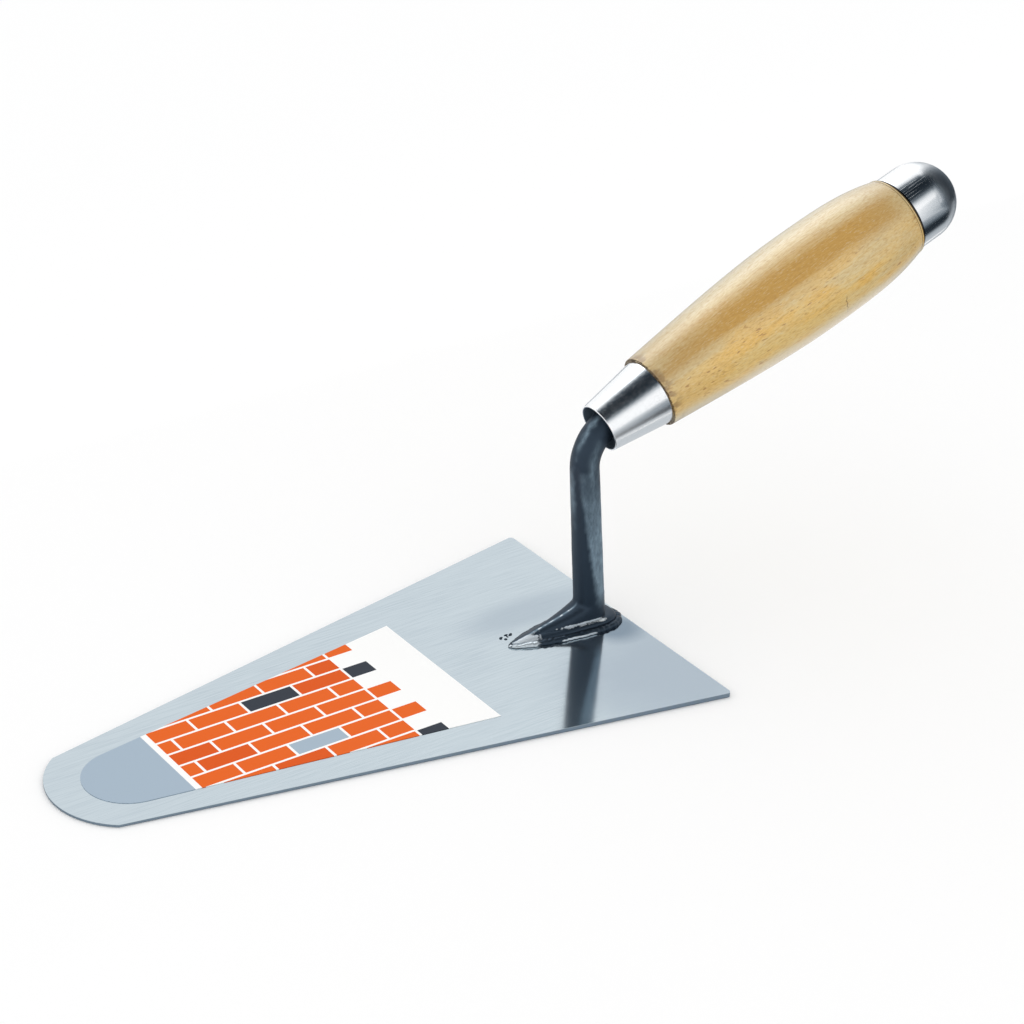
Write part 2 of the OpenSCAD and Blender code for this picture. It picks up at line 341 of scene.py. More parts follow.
@dataclass(frozen=True)
class BrushedSteel(Finish):
    """Ground sheet steel, brushed along the blade, with patches of painted shade round the weld and dull on
    its cut edges.
    """

    heel_x: float
    tip_x: float
    heel_t: float
    tip_t: float
    name: str = "brushed_blade_steel"
    tone: Colour = display_colour(197, 209, 216)
    worn_tone: Colour = display_colour(180, 193, 202)
    # Tone of the broad painted shade round the foot.
    painted_shade_tone: Colour = display_colour(172, 185, 196)
    # Tone of the painted contact shade close beside the weld.
    weld_shade_tone: Colour = display_colour(130, 147, 162)
    edge_tone: Colour = display_colour(122, 138, 152)
    metal: float = 0.97
    roughness: Point = (0.08, 0.13)
    edge_roughness: float = 0.3
    stroke_cells: Triple = (13.0, 0.35, 0.35)
    stroke_depth: float = 0.004
    stroke_wear: Point = (0.35, 0.7)
    cloud_cells: Triple = (30.0, 16.0, 16.0)
    # Patches of painted shade round the foot: a broad one, and a fainter one on the far side.
    shade_patch_centre: Triple = (-5.0, 39.0, 0.0)
    shade_patch_size: Triple = (46.0, 45.0, 40.0)
    far_shade_centre: Triple = (14.0, -15.0, 0.0)
    far_shade_size: Triple = (34.0, 11.0, 40.0)
    far_shade_share: float = 0.75
    # Patch of painted contact shade close beside the weld.
    weld_shade_centre: Triple = (-4.0, 8.5, 0.0)
    weld_shade_size: Triple = (11.5, 10.5, 40.0)
    patch_fray: float = 0.25
    patch_fade: Point = (1.1, 0.3)
    edge_fade: Point = (0.02, 0.12)

    def paint(self, graph: Graph) -> dict[str, Value]:
        """Lays the brushed tone, the patches of painted shade round the weld and the cut edge.

        Args:
            graph: The material's graph.

        Returns:
            Values and sockets for the shader's inputs.
        """
        place = graph.place()
        strokes = graph.noise(place, self.stroke_cells, detail=3.0)
        clouds = graph.noise(place, self.cloud_cells, detail=3.0)
        # Patches of painted shade round the foot.
        near = self.patch(graph, place, clouds, self.shade_patch_centre, self.shade_patch_size)
        far = self.patch(graph, place, clouds, self.far_shade_centre, self.far_shade_size)
        # Painted contact shade close beside the weld.
        weld_shade = self.patch(graph, place, clouds, self.weld_shade_centre, self.weld_shade_size)
        painted_shade = graph.math("MAXIMUM", near, graph.product(far, self.far_shade_share))
        brushed = graph.product(graph.fade(strokes, *self.stroke_wear), clouds)
        face = graph.mix(brushed, self.tone, self.worn_tone)
        face = graph.mix(painted_shade, face, self.painted_shade_tone)
        face = graph.mix(weld_shade, face, self.weld_shade_tone)
        edge = self.cut_edge(graph, place)
        smooth = graph.span(strokes, *self.roughness)
        return {
            "Base Color": graph.mix(edge, face, self.edge_tone),
            "Metallic": self.metal,
            "Roughness": graph.math("ADD", smooth, graph.product(edge, self.edge_roughness)),
            "Normal": graph.bump(strokes, self.stroke_depth),
        }

    def patch(self, graph: Graph, place: Socket, clouds: Socket, centre: Triple, size: Triple) -> Socket:
        """Share of a ragged oval patch.

        Args:
            graph: The material's graph.
            place: Place on the blade.
            clouds: Noise that frays the patch.
            centre: Middle of the patch.
            size: Half lengths of the patch along the axes.

        Returns:
            1 in the middle of the patch and 0 outside it.
        """
        reach = graph.length(graph.vector("DIVIDE", graph.vector("SUBTRACT", place, centre), size))
        ragged = graph.math("ADD", reach, graph.swing(clouds, self.patch_fray))
        return graph.fade(ragged, *self.patch_fade)

    def cut_edge(self, graph: Graph, place: Socket) -> Socket:
        """Share of the cut edge: places below the sloping top face and above the underside.

        Args:
            graph: The material's graph.
            place: Place on the blade.

        Returns:
            1 on the edge and 0 on both faces.
        """
        x, _, z = graph.parts(place)
        inputs = {
            "Value": x,
            "From Min": self.heel_x,
            "From Max": self.tip_x,
            "To Min": self.heel_t,
            "To Max": self.tip_t,
        }
        top = graph.add("ShaderNodeMapRange", inputs).outputs["Result"]
        below = graph.fade(graph.math("SUBTRACT", top, z), *self.edge_fade)
        return graph.product(below, graph.math("GREATER_THAN", z, self.edge_fade[0]))


@dataclass(frozen=True)
class BluedForging(Finish):
    """Dark blued forging, mottled where its skin has thinned with wear and bright where it was ground or
    scoured by rubbing, with painted sheen and painted highlights laid on in those colours.
    """

    name: str = "blued_forging"
    tone: Colour = display_colour(47, 61, 75)
    # Colour of skin thinned by wear, also used for the painted sheen and glints.
    worn_tone: Colour = display_colour(138, 160, 175)
    # Colour of bared steel, also used for painted highlights.
    bare_tone: Colour = display_colour(214, 222, 228)
    metal: float = 0.72
    roughness: Point = (0.38, 0.58)
    sheen_wear_attribute: str = "wear_sheen"
    sheen_wear_span: Point = (-0.1, 1.5)
    bare_attribute: str = "bare"
    bare_fray: float = 0.55
    bare_fade: Point = (0.38, 0.72)
    mottle_cells: Triple = (1.1, 1.1, 3.0)
    pit_cells: Triple = (0.9, 0.9, 0.9)
    pit_depth: float = 0.03

    def paint(self, graph: Graph) -> dict[str, Value]:
        """Lays the dark skin, its places thinned by wear with the painted sheen, and the bared steel with the
        painted highlights.

        Args:
            graph: The material's graph.

        Returns:
            Values and sockets for the shader's inputs.
        """
        place = graph.place()
        spots = graph.noise(place, self.mottle_cells, detail=4.0, rough=0.65)
        pits = graph.noise(place, self.pit_cells, detail=3.0, rough=0.6)
        # Bared steel together with the painted highlights.
        rubbed_and_lit = graph.attribute(self.bare_attribute)
        bare = graph.fade(graph.math("ADD", rubbed_and_lit, graph.swing(pits, self.bare_fray)), *self.bare_fade)
        # Wear of the skin together with the painted sheen and glints.
        wear_sheen = graph.attribute(self.sheen_wear_attribute)
        wear_sheen_share = graph.clamped("MULTIPLY", wear_sheen, graph.span(spots, *self.sheen_wear_span))
        skin = graph.mix(wear_sheen_share, self.tone, self.worn_tone)
        return {
            "Base Color": graph.mix(bare, skin, self.bare_tone),
            "Metallic": self.metal,
            "Roughness": graph.span(spots, *self.roughness),
            "Normal": graph.bump(pits, self.pit_depth),
        }


@dataclass(frozen=True)
class WeldMetal(Finish):
    """Dark molten skin, bright along its near crown and at the foot's nose, where rubbing bared it and
    painted highlights lie.
    """

    nose_x: float
    top_z: float
    name: str = "weld_metal"
    tone: Colour = display_colour(47, 60, 73)
    # Colour of the bright places: metal bared by rubbing, and painted highlight.
    rubbed_highlight_tone: Colour = display_colour(205, 214, 220)
    metal: float = 0.75
    roughness: Point = (0.3, 0.5)
    blotch_cells: Triple = (3.4, 1.2, 0.9)
    blotch_depth: float = 0.05
    streak_start: Point = (0.0, 5.0)
    streak_end: Point = (18.0, 13.0)
    streak_height: float = 0.5
    streak_fade: Point = (0.6, 0.1)
    nose_fade: Point = (-11.0, -4.0)
    rub_span: Point = (-0.1, 1.9)
    bright_fade: Point = (0.45, 0.7)

    def paint(self, graph: Graph) -> dict[str, Value]:
        """Lays the dark skin and its bright places: metal bared by rubbing, with painted highlights.

        Args:
            graph: The material's graph.

        Returns:
            Values and sockets for the shader's inputs.
        """
        place = graph.place()
        x, y, z = graph.parts(place)
        blotches = graph.noise(place, self.blotch_cells, detail=3.0, rough=0.6)
        along = graph.product(graph.fade(x, *self.streak_start), graph.fade(x, *self.streak_end))
        height = graph.math("SUBTRACT", graph.math("SUBTRACT", z, self.top_z), self.streak_height)
        crown = graph.fade(graph.math("ABSOLUTE", height), *self.streak_fade)
        # Bright marks on the near side only: painted highlight as well as metal bared by rubbing.
        near = graph.math("GREATER_THAN", y, 0.0)
        streak = graph.product(along, crown, near)
        nose = graph.product(graph.fade_from(x, self.nose_x, self.nose_fade), near)
        rubbed_and_lit = graph.product(graph.math("MAXIMUM", streak, nose), graph.span(blotches, *self.rub_span))
        bright = graph.fade(rubbed_and_lit, *self.bright_fade)
        return {
            "Base Color": graph.mix(bright, self.tone, self.rubbed_highlight_tone),
            "Metallic": self.metal,
            "Roughness": graph.span(blotches, *self.roughness),
            "Normal": graph.bump(blotches, self.blotch_depth),
        }


class Draw(Enum):
    """How rough the lines from drawing are on a plated piece."""

    FAINT = 0.26
    COARSE = 0.42


@dataclass(frozen=True)
class PlatedSheet(Finish):
    """Polished plate over drawn sheet metal, with fine lines along the handle and a dull, dark inside whose
    darkness is painted shade.

    The inside lies nearer to the axis than a cone: inner_r is its radius at the elbow's corner and
    inner_slope its growth along the handle. Each of line_bands holds the middle and the half width of a
    band with stronger lines, in degrees round the handle, and their strength.
    """

    inner_r: float
    inner_slope: float
    name: str = "plated_sheet"
    draw: Draw = Draw.FAINT
    tone: Colour = display_colour(246, 248, 250)
    # Dark tone of the inside: dull unplated steel, darkened as painted shade.
    inside: Colour = display_colour(112, 128, 144)
    inside_metal: float = 0.2
    inside_roughness: float = 0.6
    line_count: int = 84
    line_drift: float = 2.4
    line_cells: Triple = (0.8, 0.8, 8.0)
    line_depth: float = 0.01
    line_share: float = 0.6
    line_fade: Point = (0.3, 0.9)
    line_breaks: Point = (0.36, 0.52)
    line_bands: tuple[Triple, ...] = ()
    band_fade: float = 6.0
    lines_end: float = 1000.0
    lines_fade: float = 3.0
    roughness: float = 0.16
    mottle: float = 0.0
    mottle_cells: Triple = (0.6, 0.6, 0.6)
    mottle_fade: Point = (0.45, 0.65)
    # Painted shadow in the joint between the cap's rim and the wood.
    joint: Colour = display_colour(38, 40, 44)
    joint_s: float = -1000.0
    joint_fade: Point = (0.75, 0.5)
    satin_from: float = 1000.0
    satin_fade: float = 5.0
    satin_roughness: float = 0.35
    grit_cells: Triple = (0.22, 0.22, 0.22)
    grit_depth: float = 0.004

    def paint(self, graph: Graph) -> dict[str, Value]:
        """Lays the plate outside, the dull inside with its painted shade, and the painted shadow in the
        joint.

        Args:
            graph: The material's graph.

        Returns:
            Values and sockets for the shader's inputs.
        """
        place = AXIS.local(graph)
        x, y, along = graph.parts(place)
        lines = self.lines(graph, place)
        grit = graph.noise(place, self.grit_cells)
        radius = graph.length(graph.joined(x, y, 0.0))
        wall = graph.math("MULTIPLY_ADD", along, self.inner_slope, self.inner_r)
        outside = graph.math("GREATER_THAN", radius, wall)
        # Inside the wall the colour is darkened as painted shade.
        plain = graph.mix(outside, self.inside, self.tone)
        # Painted shadow in the joint by the cap's rim.
        joint_shadow = graph.fade_from(along, self.joint_s, self.joint_fade)
        satin = graph.fade(along, self.satin_from, self.satin_from + self.satin_fade)
        smooth = graph.span(satin, self.roughness, self.satin_roughness)
        blotches = graph.fade(graph.noise(place, self.mottle_cells, detail=3.0), *self.mottle_fade)
        dulled = graph.math("MULTIPLY_ADD", blotches, self.mottle, smooth)
        plate = graph.math("MAXIMUM", dulled, graph.product(lines, self.draw.value))
        drawn = graph.bump(lines, self.line_depth * self.draw.value)
        return {
            "Base Color": graph.mix(joint_shadow, plain, self.joint),
            "Metallic": graph.span(outside, self.inside_metal, 1.0),
            "Roughness": graph.math("MAXIMUM", plate, graph.span(outside, self.inside_roughness, 0.0)),
            "Normal": graph.bump(grit, self.grit_depth, drawn),
        }

    def lines(self, graph: Graph, place: Socket) -> Socket:
        """Share of the lines that drawing leaves along the handle, broken here and there.

        Args:
            graph: The material's graph.
            place: Place in the handle's frame.

        Returns:
            1 on a line and 0 between them.
        """
        x, y, along = graph.parts(place)
        cells = graph.noise(place, self.line_cells, detail=1.0)
        turn = graph.math("ARCTAN2", y, x)
        drift = graph.swing(cells, self.line_drift)
        wave = graph.math("SINE", graph.math("MULTIPLY_ADD", turn, float(self.line_count), drift))
        whole = graph.product(graph.fade(wave, *self.line_fade), graph.fade(cells, *self.line_breaks))
        share: Value = self.line_share
        for middle, half, strength in self.line_bands:
            off = graph.math("ABSOLUTE", graph.math("SUBTRACT", turn, math.radians(middle)))
            band = graph.fade(off, math.radians(half), math.radians(half - self.band_fade))
            share = graph.math("MAXIMUM", share, graph.product(band, strength))
        ends = graph.fade(along, self.lines_end, self.lines_end - self.lines_fade)
        return graph.product(whole, share, ends)


@dataclass(frozen=True)
class LacqueredBeech(Finish):
    """Turned beech under clear lacquer, with a pale sapwood side, flecks along the grain, a painted highlight
    on its far side, a painted reflection on its underside and ends darkened by staining and painted shade.

    Lengths that end in _s are distances along the handle. The pairs for its front and rear ends are
    offsets from front_s and rear_s.
    """

    front_s: float
    crease_s: float
    rear_s: float
    name: str = "lacquered_beech"
    # Pale grey: painted highlight on the far side, painted reflection on the underside, and pale specks in
    # the grain.
    far_side: Colour = display_colour(212, 200, 167)
    pale: Colour = display_colour(211, 188, 134)
    # Colour of the darker streak: partly the wood's heart colour, partly painted shade.
    heartwood_and_shade: Colour = display_colour(198, 152, 66)
    brown: Colour = display_colour(174, 128, 54)
    sapwood: Colour = display_colour(222, 189, 114)
    # Greyer, darker tone towards both ends of the grip.
    dull_end_tone: Colour = display_colour(181, 157, 108)
    amber: Colour = display_colour(226, 178, 76)
    fleck: Colour = display_colour(154, 104, 44)
    smudge: Colour = display_colour(112, 76, 38)
    # Darkest tone: staining and painted shadow at the ferrule, painted shade in the crease and at the cap.
    stain_and_shade: Colour = display_colour(42, 28, 16)
    roughness: Point = (0.42, 0.55)
    gloss: float = 0.5
    coat_roughness: float = 0.26
    wave_cells: Triple = (16.0, 16.0, 70.0)
    wave_sway: float = 0.2
    band_cells: Triple = (4.2, 4.2, 60.0)
    band_sway: float = 0.25
    fibre_cells: Triple = (0.5, 0.5, 6.0)
    fibre_sway: float = 0.14
    fibre_depth: float = 0.012
    pore_cells: Triple = (0.32, 0.32, 1.7)
    sap_fade: Point = (0.6, 1.0)
    below_fade: Point = (-0.22, -0.5)
    streak_sway: float = 12.0
    streak_front: Point = (-4.0, 8.0)
    streak_rear: Point = (0.0, -10.0)
    dull_front: Point = (30.0, 4.0)
    dull_front_share: float = 0.45
    dull_rear: Point = (-26.0, -6.0)
    dull_rear_share: float = 0.35
    golden_cells: Triple = (6.0, 6.0, 20.0)
    golden_fade: Point = (0.4, 0.62)
    golden_front: Point = (8.0, 30.0)
    golden_rear: Point = (-12.0, -28.0)
    golden_span: Point = (0.3, 0.8)
    smudge_cells: Triple = (2.2, 2.2, 3.2)
    smudge_fade: Point = (0.46, 0.62)
    smudge_front: Point = (5.0, 0.0)
    fleck_cells: Triple = (0.75, 0.75, 3.6)
    fleck_tilt: float = 0.12
    fleck_fade: Point = (0.64, 0.72)
    crowd_cells: Triple = (7.0, 7.0, 22.0)
    crowd_fade: Point = (0.28, 0.5)
    heart_flecks: float = 0.15
    check_s: float = 93.7
    check_turn: float = 1.56
    check_span: float = 0.6
    check_ends: Point = (0.08, 0.1)
    check_slope: float = 1.2
    check_cells: Triple = (1.6, 1.6, 1.6)
    check_sway: float = 0.9
    check_fade: Point = (0.22, 0.08)
    # Darkening at the ends: staining and painted shadow at the ferrule, painted shade in the crease and on
    # the rear bead by the cap.
    stain_shade_fray: float = 0.3
    front_stain_shade: Point = (0.15, -0.05)
    crease_shade: Point = (0.2, 0.05)
    rear_shade: Point = (-0.74, -0.54)
    crease_share: float = 0.7
    stain_shade_share: float = 0.9

    def paint(self, graph: Graph) -> dict[str, Value]:
        """Lays the growth layers, then each wash of colour over them, and the staining and painted shade
        last.

        Args:
            graph: The material's graph.

        Returns:
            Values and sockets for the shader's inputs.
        """
        place = AXIS.local(graph)
        x, y, along = graph.parts(place)
        waves = graph.noise(place, self.wave_cells)
        bands = graph.noise(place, self.band_cells, detail=3.0, rough=0.55)
        fibres = graph.noise(place, self.fibre_cells, detail=3.0, rough=0.6)
        pores = graph.noise(place, self.pore_cells, detail=2.0, rough=0.6)
        radius = graph.length(graph.joined(x, y, 0.0))
        grain = graph.math("ADD", graph.swing(waves, self.wave_sway), graph.swing(bands, self.band_sway))
        frayed = graph.math("ADD", grain, graph.swing(fibres, self.fibre_sway))
        turn = graph.math("ADD", graph.math("DIVIDE", y, radius), frayed)
        sap_side = graph.fade(turn, *self.sap_fade)
        # Share of the underside, which gets a painted reflection.
        below = graph.fade(graph.math("DIVIDE", x, radius), *self.below_fade)
        washes = (
            (self.amber, 1.0, graph.product(self.golden(graph, place), sap_side)),
            (self.brown, 0.42, graph.fade(fibres, 0.42, 0.8)),
            (self.brown, 0.52, graph.fade(pores, 0.48, 0.72)),
            (self.far_side, 0.42, graph.fade(pores, 0.46, 0.26)),
            (self.fleck, 0.75, self.flecks(graph, place, sap_side)),
            (self.smudge, 0.6, self.check(graph, place)),
            # Painted reflection: pale grey on the underside.
            (self.far_side, 0.6, below),
            (self.smudge, 0.6, self.smudges(graph, place)),
        )
        wood = self.layers(graph, graph.math("MULTIPLY_ADD", turn, 0.5, 0.5), along, waves)
        for colour, strength, share in washes:
            wood = graph.mix(graph.product(share, strength), wood, colour)
        # Staining and painted shade at the ends.
        stains_and_shade = self.stains_and_shade(graph, along, fibres)
        unmarked = graph.math("SUBTRACT", 1.0, stains_and_shade)
        return {
            "Base Color": graph.mix(stains_and_shade, wood, self.stain_and_shade),
            "Roughness": graph.span(fibres, *self.roughness),
            "Specular IOR Level": graph.product(unmarked, self.gloss),
            "Coat Weight": unmarked,
            "Coat Roughness": self.coat_roughness,
            "Normal": graph.bump(fibres, self.fibre_depth),
        }

    def layers(self, graph: Graph, turn: Socket, along: Socket, waves: Socket) -> Socket:
        """Colour of the growth layers, with a pale grey far side that is a painted highlight, a darker streak
        that is partly heart colour and partly painted shade and fades at both ends, and dulled ends.

        Args:
            graph: The material's graph.
            turn: Place across the layers, from 0 to 1.
            along: Distance along the handle.
            waves: Broad noise that moves the streak's ends.

        Returns:
            The colour.
        """
        # The pale grey far side is a painted highlight; the darker streak between is partly painted shade.
        outer = ((0.3, self.far_side), (0.54, self.pale))
        inner = ((0.94, self.pale), (1.0, self.sapwood))
        streak = graph.ramp(turn, (*outer, (0.7, self.heartwood_and_shade), (0.82, self.heartwood_and_shade), *inner))
        plain = graph.ramp(turn, (*outer, *inner))
        wandering = graph.math("ADD", along, graph.swing(waves, self.streak_sway))
        front = graph.fade_from(wandering, self.front_s, self.streak_front)
        rear = graph.fade_from(wandering, self.rear_s, self.streak_rear)
        grown = graph.mix(graph.product(front, rear), plain, streak)
        dull_front = graph.fade_from(wandering, self.front_s, self.dull_front)
        dull_rear = graph.fade_from(wandering, self.rear_s, self.dull_rear)
        front_share = graph.product(dull_front, self.dull_front_share)
        rear_share = graph.product(dull_rear, self.dull_rear_share)
        return graph.mix(graph.math("MAXIMUM", front_share, rear_share), grown, self.dull_end_tone)

    def flecks(self, graph: Graph, place: Socket, sap_side: Socket) -> Socket:
        """Share of the short dark flecks, which crowd on the sapwood side.

        Args:
            graph: The material's graph.
            place: Place in the handle's frame.
            sap_side: Share of the sapwood.

        Returns:
            1 on a fleck and 0 between them.
        """
        x, y, along = graph.parts(place)
        skew = graph.joined(graph.math("MULTIPLY_ADD", along, self.fleck_tilt, x), y, along)
        cells = graph.noise(skew, self.fleck_cells, detail=1.0)
        crowd = graph.fade(graph.noise(place, self.crowd_cells, detail=1.0), *self.crowd_fade)
        room = graph.product(crowd, graph.span(sap_side, self.heart_flecks, 1.0))
        return graph.product(graph.fade(cells, *self.fleck_fade), room)

    def check(self, graph: Graph, place: Socket) -> Socket:
        """Share of one hairline check that runs a short way round the wood.

        Args:
            graph: The material's graph.
            place: Place in the handle's frame.

        Returns:
            1 on the check and 0 beside it.
        """
        x, y, along = graph.parts(place)
        turned = graph.math("SUBTRACT", graph.math("ARCTAN2", y, x), self.check_turn)
        wiggle = graph.swing(graph.noise(place, self.check_cells, detail=1.0), self.check_sway)
        line = graph.math("ADD", graph.math("MULTIPLY_ADD", turned, self.check_slope, self.check_s), wiggle)
        near = graph.fade(graph.math("ABSOLUTE", graph.math("SUBTRACT", along, line)), *self.check_fade)
        first, last = self.check_ends
        starts = graph.fade(turned, 0.0, first)
        ends = graph.fade(turned, self.check_span, self.check_span - last)
        return graph.product(near, graph.product(starts, ends))

    def golden(self, graph: Graph, place: Socket) -> Socket:
        """Share of the golden clouds, strongest along the handle's middle.

        Args:
            graph: The material's graph.
            place: Place in the handle's frame.

        Returns:
            The share.
        """
        _, _, along = graph.parts(place)
        clouds = graph.fade(graph.noise(place, self.golden_cells), *self.golden_fade)
        rising = graph.fade_from(along, self.front_s, self.golden_front)
        falling = graph.fade_from(along, self.rear_s, self.golden_rear)
        return graph.product(clouds, graph.span(graph.product(rising, falling), *self.golden_span))

    def smudges(self, graph: Graph, place: Socket) -> Socket:
        """Share of the smudges close to the ferrule.

        Args:
            graph: The material's graph.
            place: Place in the handle's frame.

        Returns:
            The share.
        """
        _, _, along = graph.parts(place)
        spots = graph.fade(graph.noise(place, self.smudge_cells), *self.smudge_fade)
        return graph.product(spots, graph.fade_from(along, self.front_s, self.smudge_front))

    def stains_and_shade(self, graph: Graph, along: Socket, fibres: Socket) -> Socket:
        """Share of the darkening at the ends: staining and painted shadow at the ferrule, painted shade in
        the crease and at the cap.

        Args:
            graph: The material's graph.
            along: Distance along the handle.
            fibres: Noise that frays the darkening at the ferrule.

        Returns:
            1 where the darkening is full and 0 on unmarked wood.
        """
        # At the ferrule: staining and painted shadow.
        frayed = graph.math("ADD", along, graph.swing(fibres, self.stain_shade_fray))
        front = graph.fade_from(frayed, self.front_s, self.front_stain_shade)
        # Painted shade in the crease and on the rear bead by the cap.
        from_crease = graph.math("ABSOLUTE", graph.math("SUBTRACT", along, self.crease_s))
        crease = graph.product(graph.fade(from_crease, *self.crease_shade), self.crease_share)
        rear = graph.fade_from(along, self.rear_s, self.rear_shade)
        worst = graph.math("MAXIMUM", front, graph.math("MAXIMUM", crease, rear))
        return graph.product(worst, self.stain_shade_share)


@dataclass(frozen=True)
class LabelPrint(Finish):
    """Printed film: a toothed wall of bricks on white, with a grey end."""

    name: str = "printed_film"
    heel_x: float = 0.0
    white: Colour = display_colour(250, 250, 249)
    orange: Colour = display_colour(230, 100, 26)
    deep_orange: Colour = display_colour(221, 88, 18)
    grey: Colour = display_colour(165, 182, 197)
    slate: Colour = display_colour(52, 58, 68)
    roughness: float = 0.34
    gloss: float = 0.06
    ripple_cells: Triple = (9.0, 9.0, 9.0)
    ripple_depth: float = 0.02
    brick_length: float = 18.0
    brick_height: float = 7.0
    joint: float = 0.85
    first_row: float = -100.0
    wall_start: float = 84.0
    wall_end: float = 161.0
    tip_start: float = 163.0

    def paint(self, graph: Graph) -> dict[str, Value]:
        """Lays the bricks, the toothed start of their wall and the grey end.

        Args:
            graph: The material's graph.

        Returns:
            Values and sockets for the shader's inputs.
        """
        place = graph.place()
        x, y, _ = graph.parts(place)
        along = graph.math("SUBTRACT", x, self.heel_x)
        across = graph.math("ADD", y, self.brick_height / 2)
        row = graph.math("FLOOR", graph.math("DIVIDE", across, self.brick_height))
        odd = graph.math("MODULO", graph.math("SUBTRACT", row, self.first_row), 2.0)
        step = graph.product(odd, self.brick_length / 2)
        bricks = graph.add(
            "ShaderNodeTexBrick",
            {
                "Vector": graph.joined(graph.math("SUBTRACT", along, self.wall_start), across, 0.0),
                "Color1": (0.0, 0.0, 0.0, 1.0),
                "Color2": (1.0, 1.0, 1.0, 1.0),
                "Mortar": (0.0, 0.0, 0.0, 1.0),
                "Scale": 1.0,
                "Mortar Size": self.joint / 2,
                "Mortar Smooth": 0.0,
                "Bias": 0.0,
                "Brick Width": self.brick_length,
                "Row Height": self.brick_height,
            },
        )
        tints = (
            (0.0, self.orange),
            (0.45, self.deep_orange),
            (0.62, self.orange),
            (0.8, self.grey),
            (0.9, self.slate),
        )
        tint = graph.ramp(bricks.outputs["Color"], tints, stepped=True)
        brick = graph.math("SUBTRACT", 1.0, bricks.outputs["Fac"])
        after_teeth = graph.math("GREATER_THAN", along, graph.math("ADD", step, self.wall_start))
        before_end = graph.math("LESS_THAN", along, self.wall_end)
        wall = graph.product(brick, graph.product(after_teeth, before_end))
        print_colour = graph.mix(wall, self.white, tint)
        tip = graph.math("GREATER_THAN", along, self.tip_start)
        ripples = graph.noise(place, self.ripple_cells)
        return {
            "Base Color": graph.mix(tip, print_colour, self.grey),
            "Roughness": self.roughness,
            "Specular IOR Level": self.gloss,
            "Normal": graph.bump(ripples, self.ripple_depth),
        }


@dataclass(frozen=True)
class PlainMatt(Finish):
    """Matt surface of the floor."""

    name: str = "pale_floor"
    tone: Colour = (0.96, 0.96, 0.96, 1.0)
    roughness: float = 0.9
    gloss: float = 0.1

    def paint(self, graph: Graph) -> dict[str, Value]:
        """One tone all over."""
        return {"Base Color": self.tone, "Roughness": self.roughness, "Specular IOR Level": self.gloss}


def new_object(name: str, vertices: Sequence, edges: Sequence = (), faces: Sequence = ()) -> bpy.types.Object:
    """Makes a mesh object at the origin.

    Args:
        name: Name of the object and its mesh.
        vertices: Points in metres.
        edges: Pairs of points.
        faces: Loops of points.

    Returns:
        The object, linked to the scene.
    """
    mesh = bpy.data.meshes.new(name)
    mesh.from_pydata([tuple(v) for v in vertices], edges, faces)
    mesh.update()
    made = bpy.data.objects.new(name, mesh)
    bpy.context.scene.collection.objects.link(made)
    return made


def finish_mesh(piece: bpy.types.Object, crease: float | None = 32.0) -> None:
    """Merges doubles, points the faces outwards and shades them smooth.

    Args:
        piece: Object whose mesh is finished.
        crease: Angle above which an edge stays sharp, or None for none.
    """
    work = bmesh.new()
    work.from_mesh(piece.data)
    bmesh.ops.remove_doubles(work, verts=work.verts, dist=MERGE_REACH)
    bmesh.ops.recalc_face_normals(work, faces=work.faces)
    work.to_mesh(piece.data)
    work.free()
    piece.data.shade_smooth()
    if crease is not None:
        piece.data.set_sharp_from_angle(angle=math.radians(crease))


def dress_node(node: str, material: bpy.types.Material) -> None:
    """Gives a CAD node's object a better material.

    Args:
        node: Name of the node.
        material: The material.
    """
    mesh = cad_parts[node].data
    mesh.materials.clear()
    mesh.materials.append(material)
    log.info("dressed %s", node)


def set_in_place(piece: bpy.types.Object, slot: str, *nodes: str) -> None:
    """Makes a finished piece ride on the body and stand for its CAD nodes.

    Args:
        piece: The finished piece.
        slot: Name of a material slot; not used.
        *nodes: CAD nodes that the piece stands for.
    """
    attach(piece, BODY)
    if nodes:
        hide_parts(*nodes)
    log.info("made %s with %d faces", piece.name, len(piece.data.polygons))


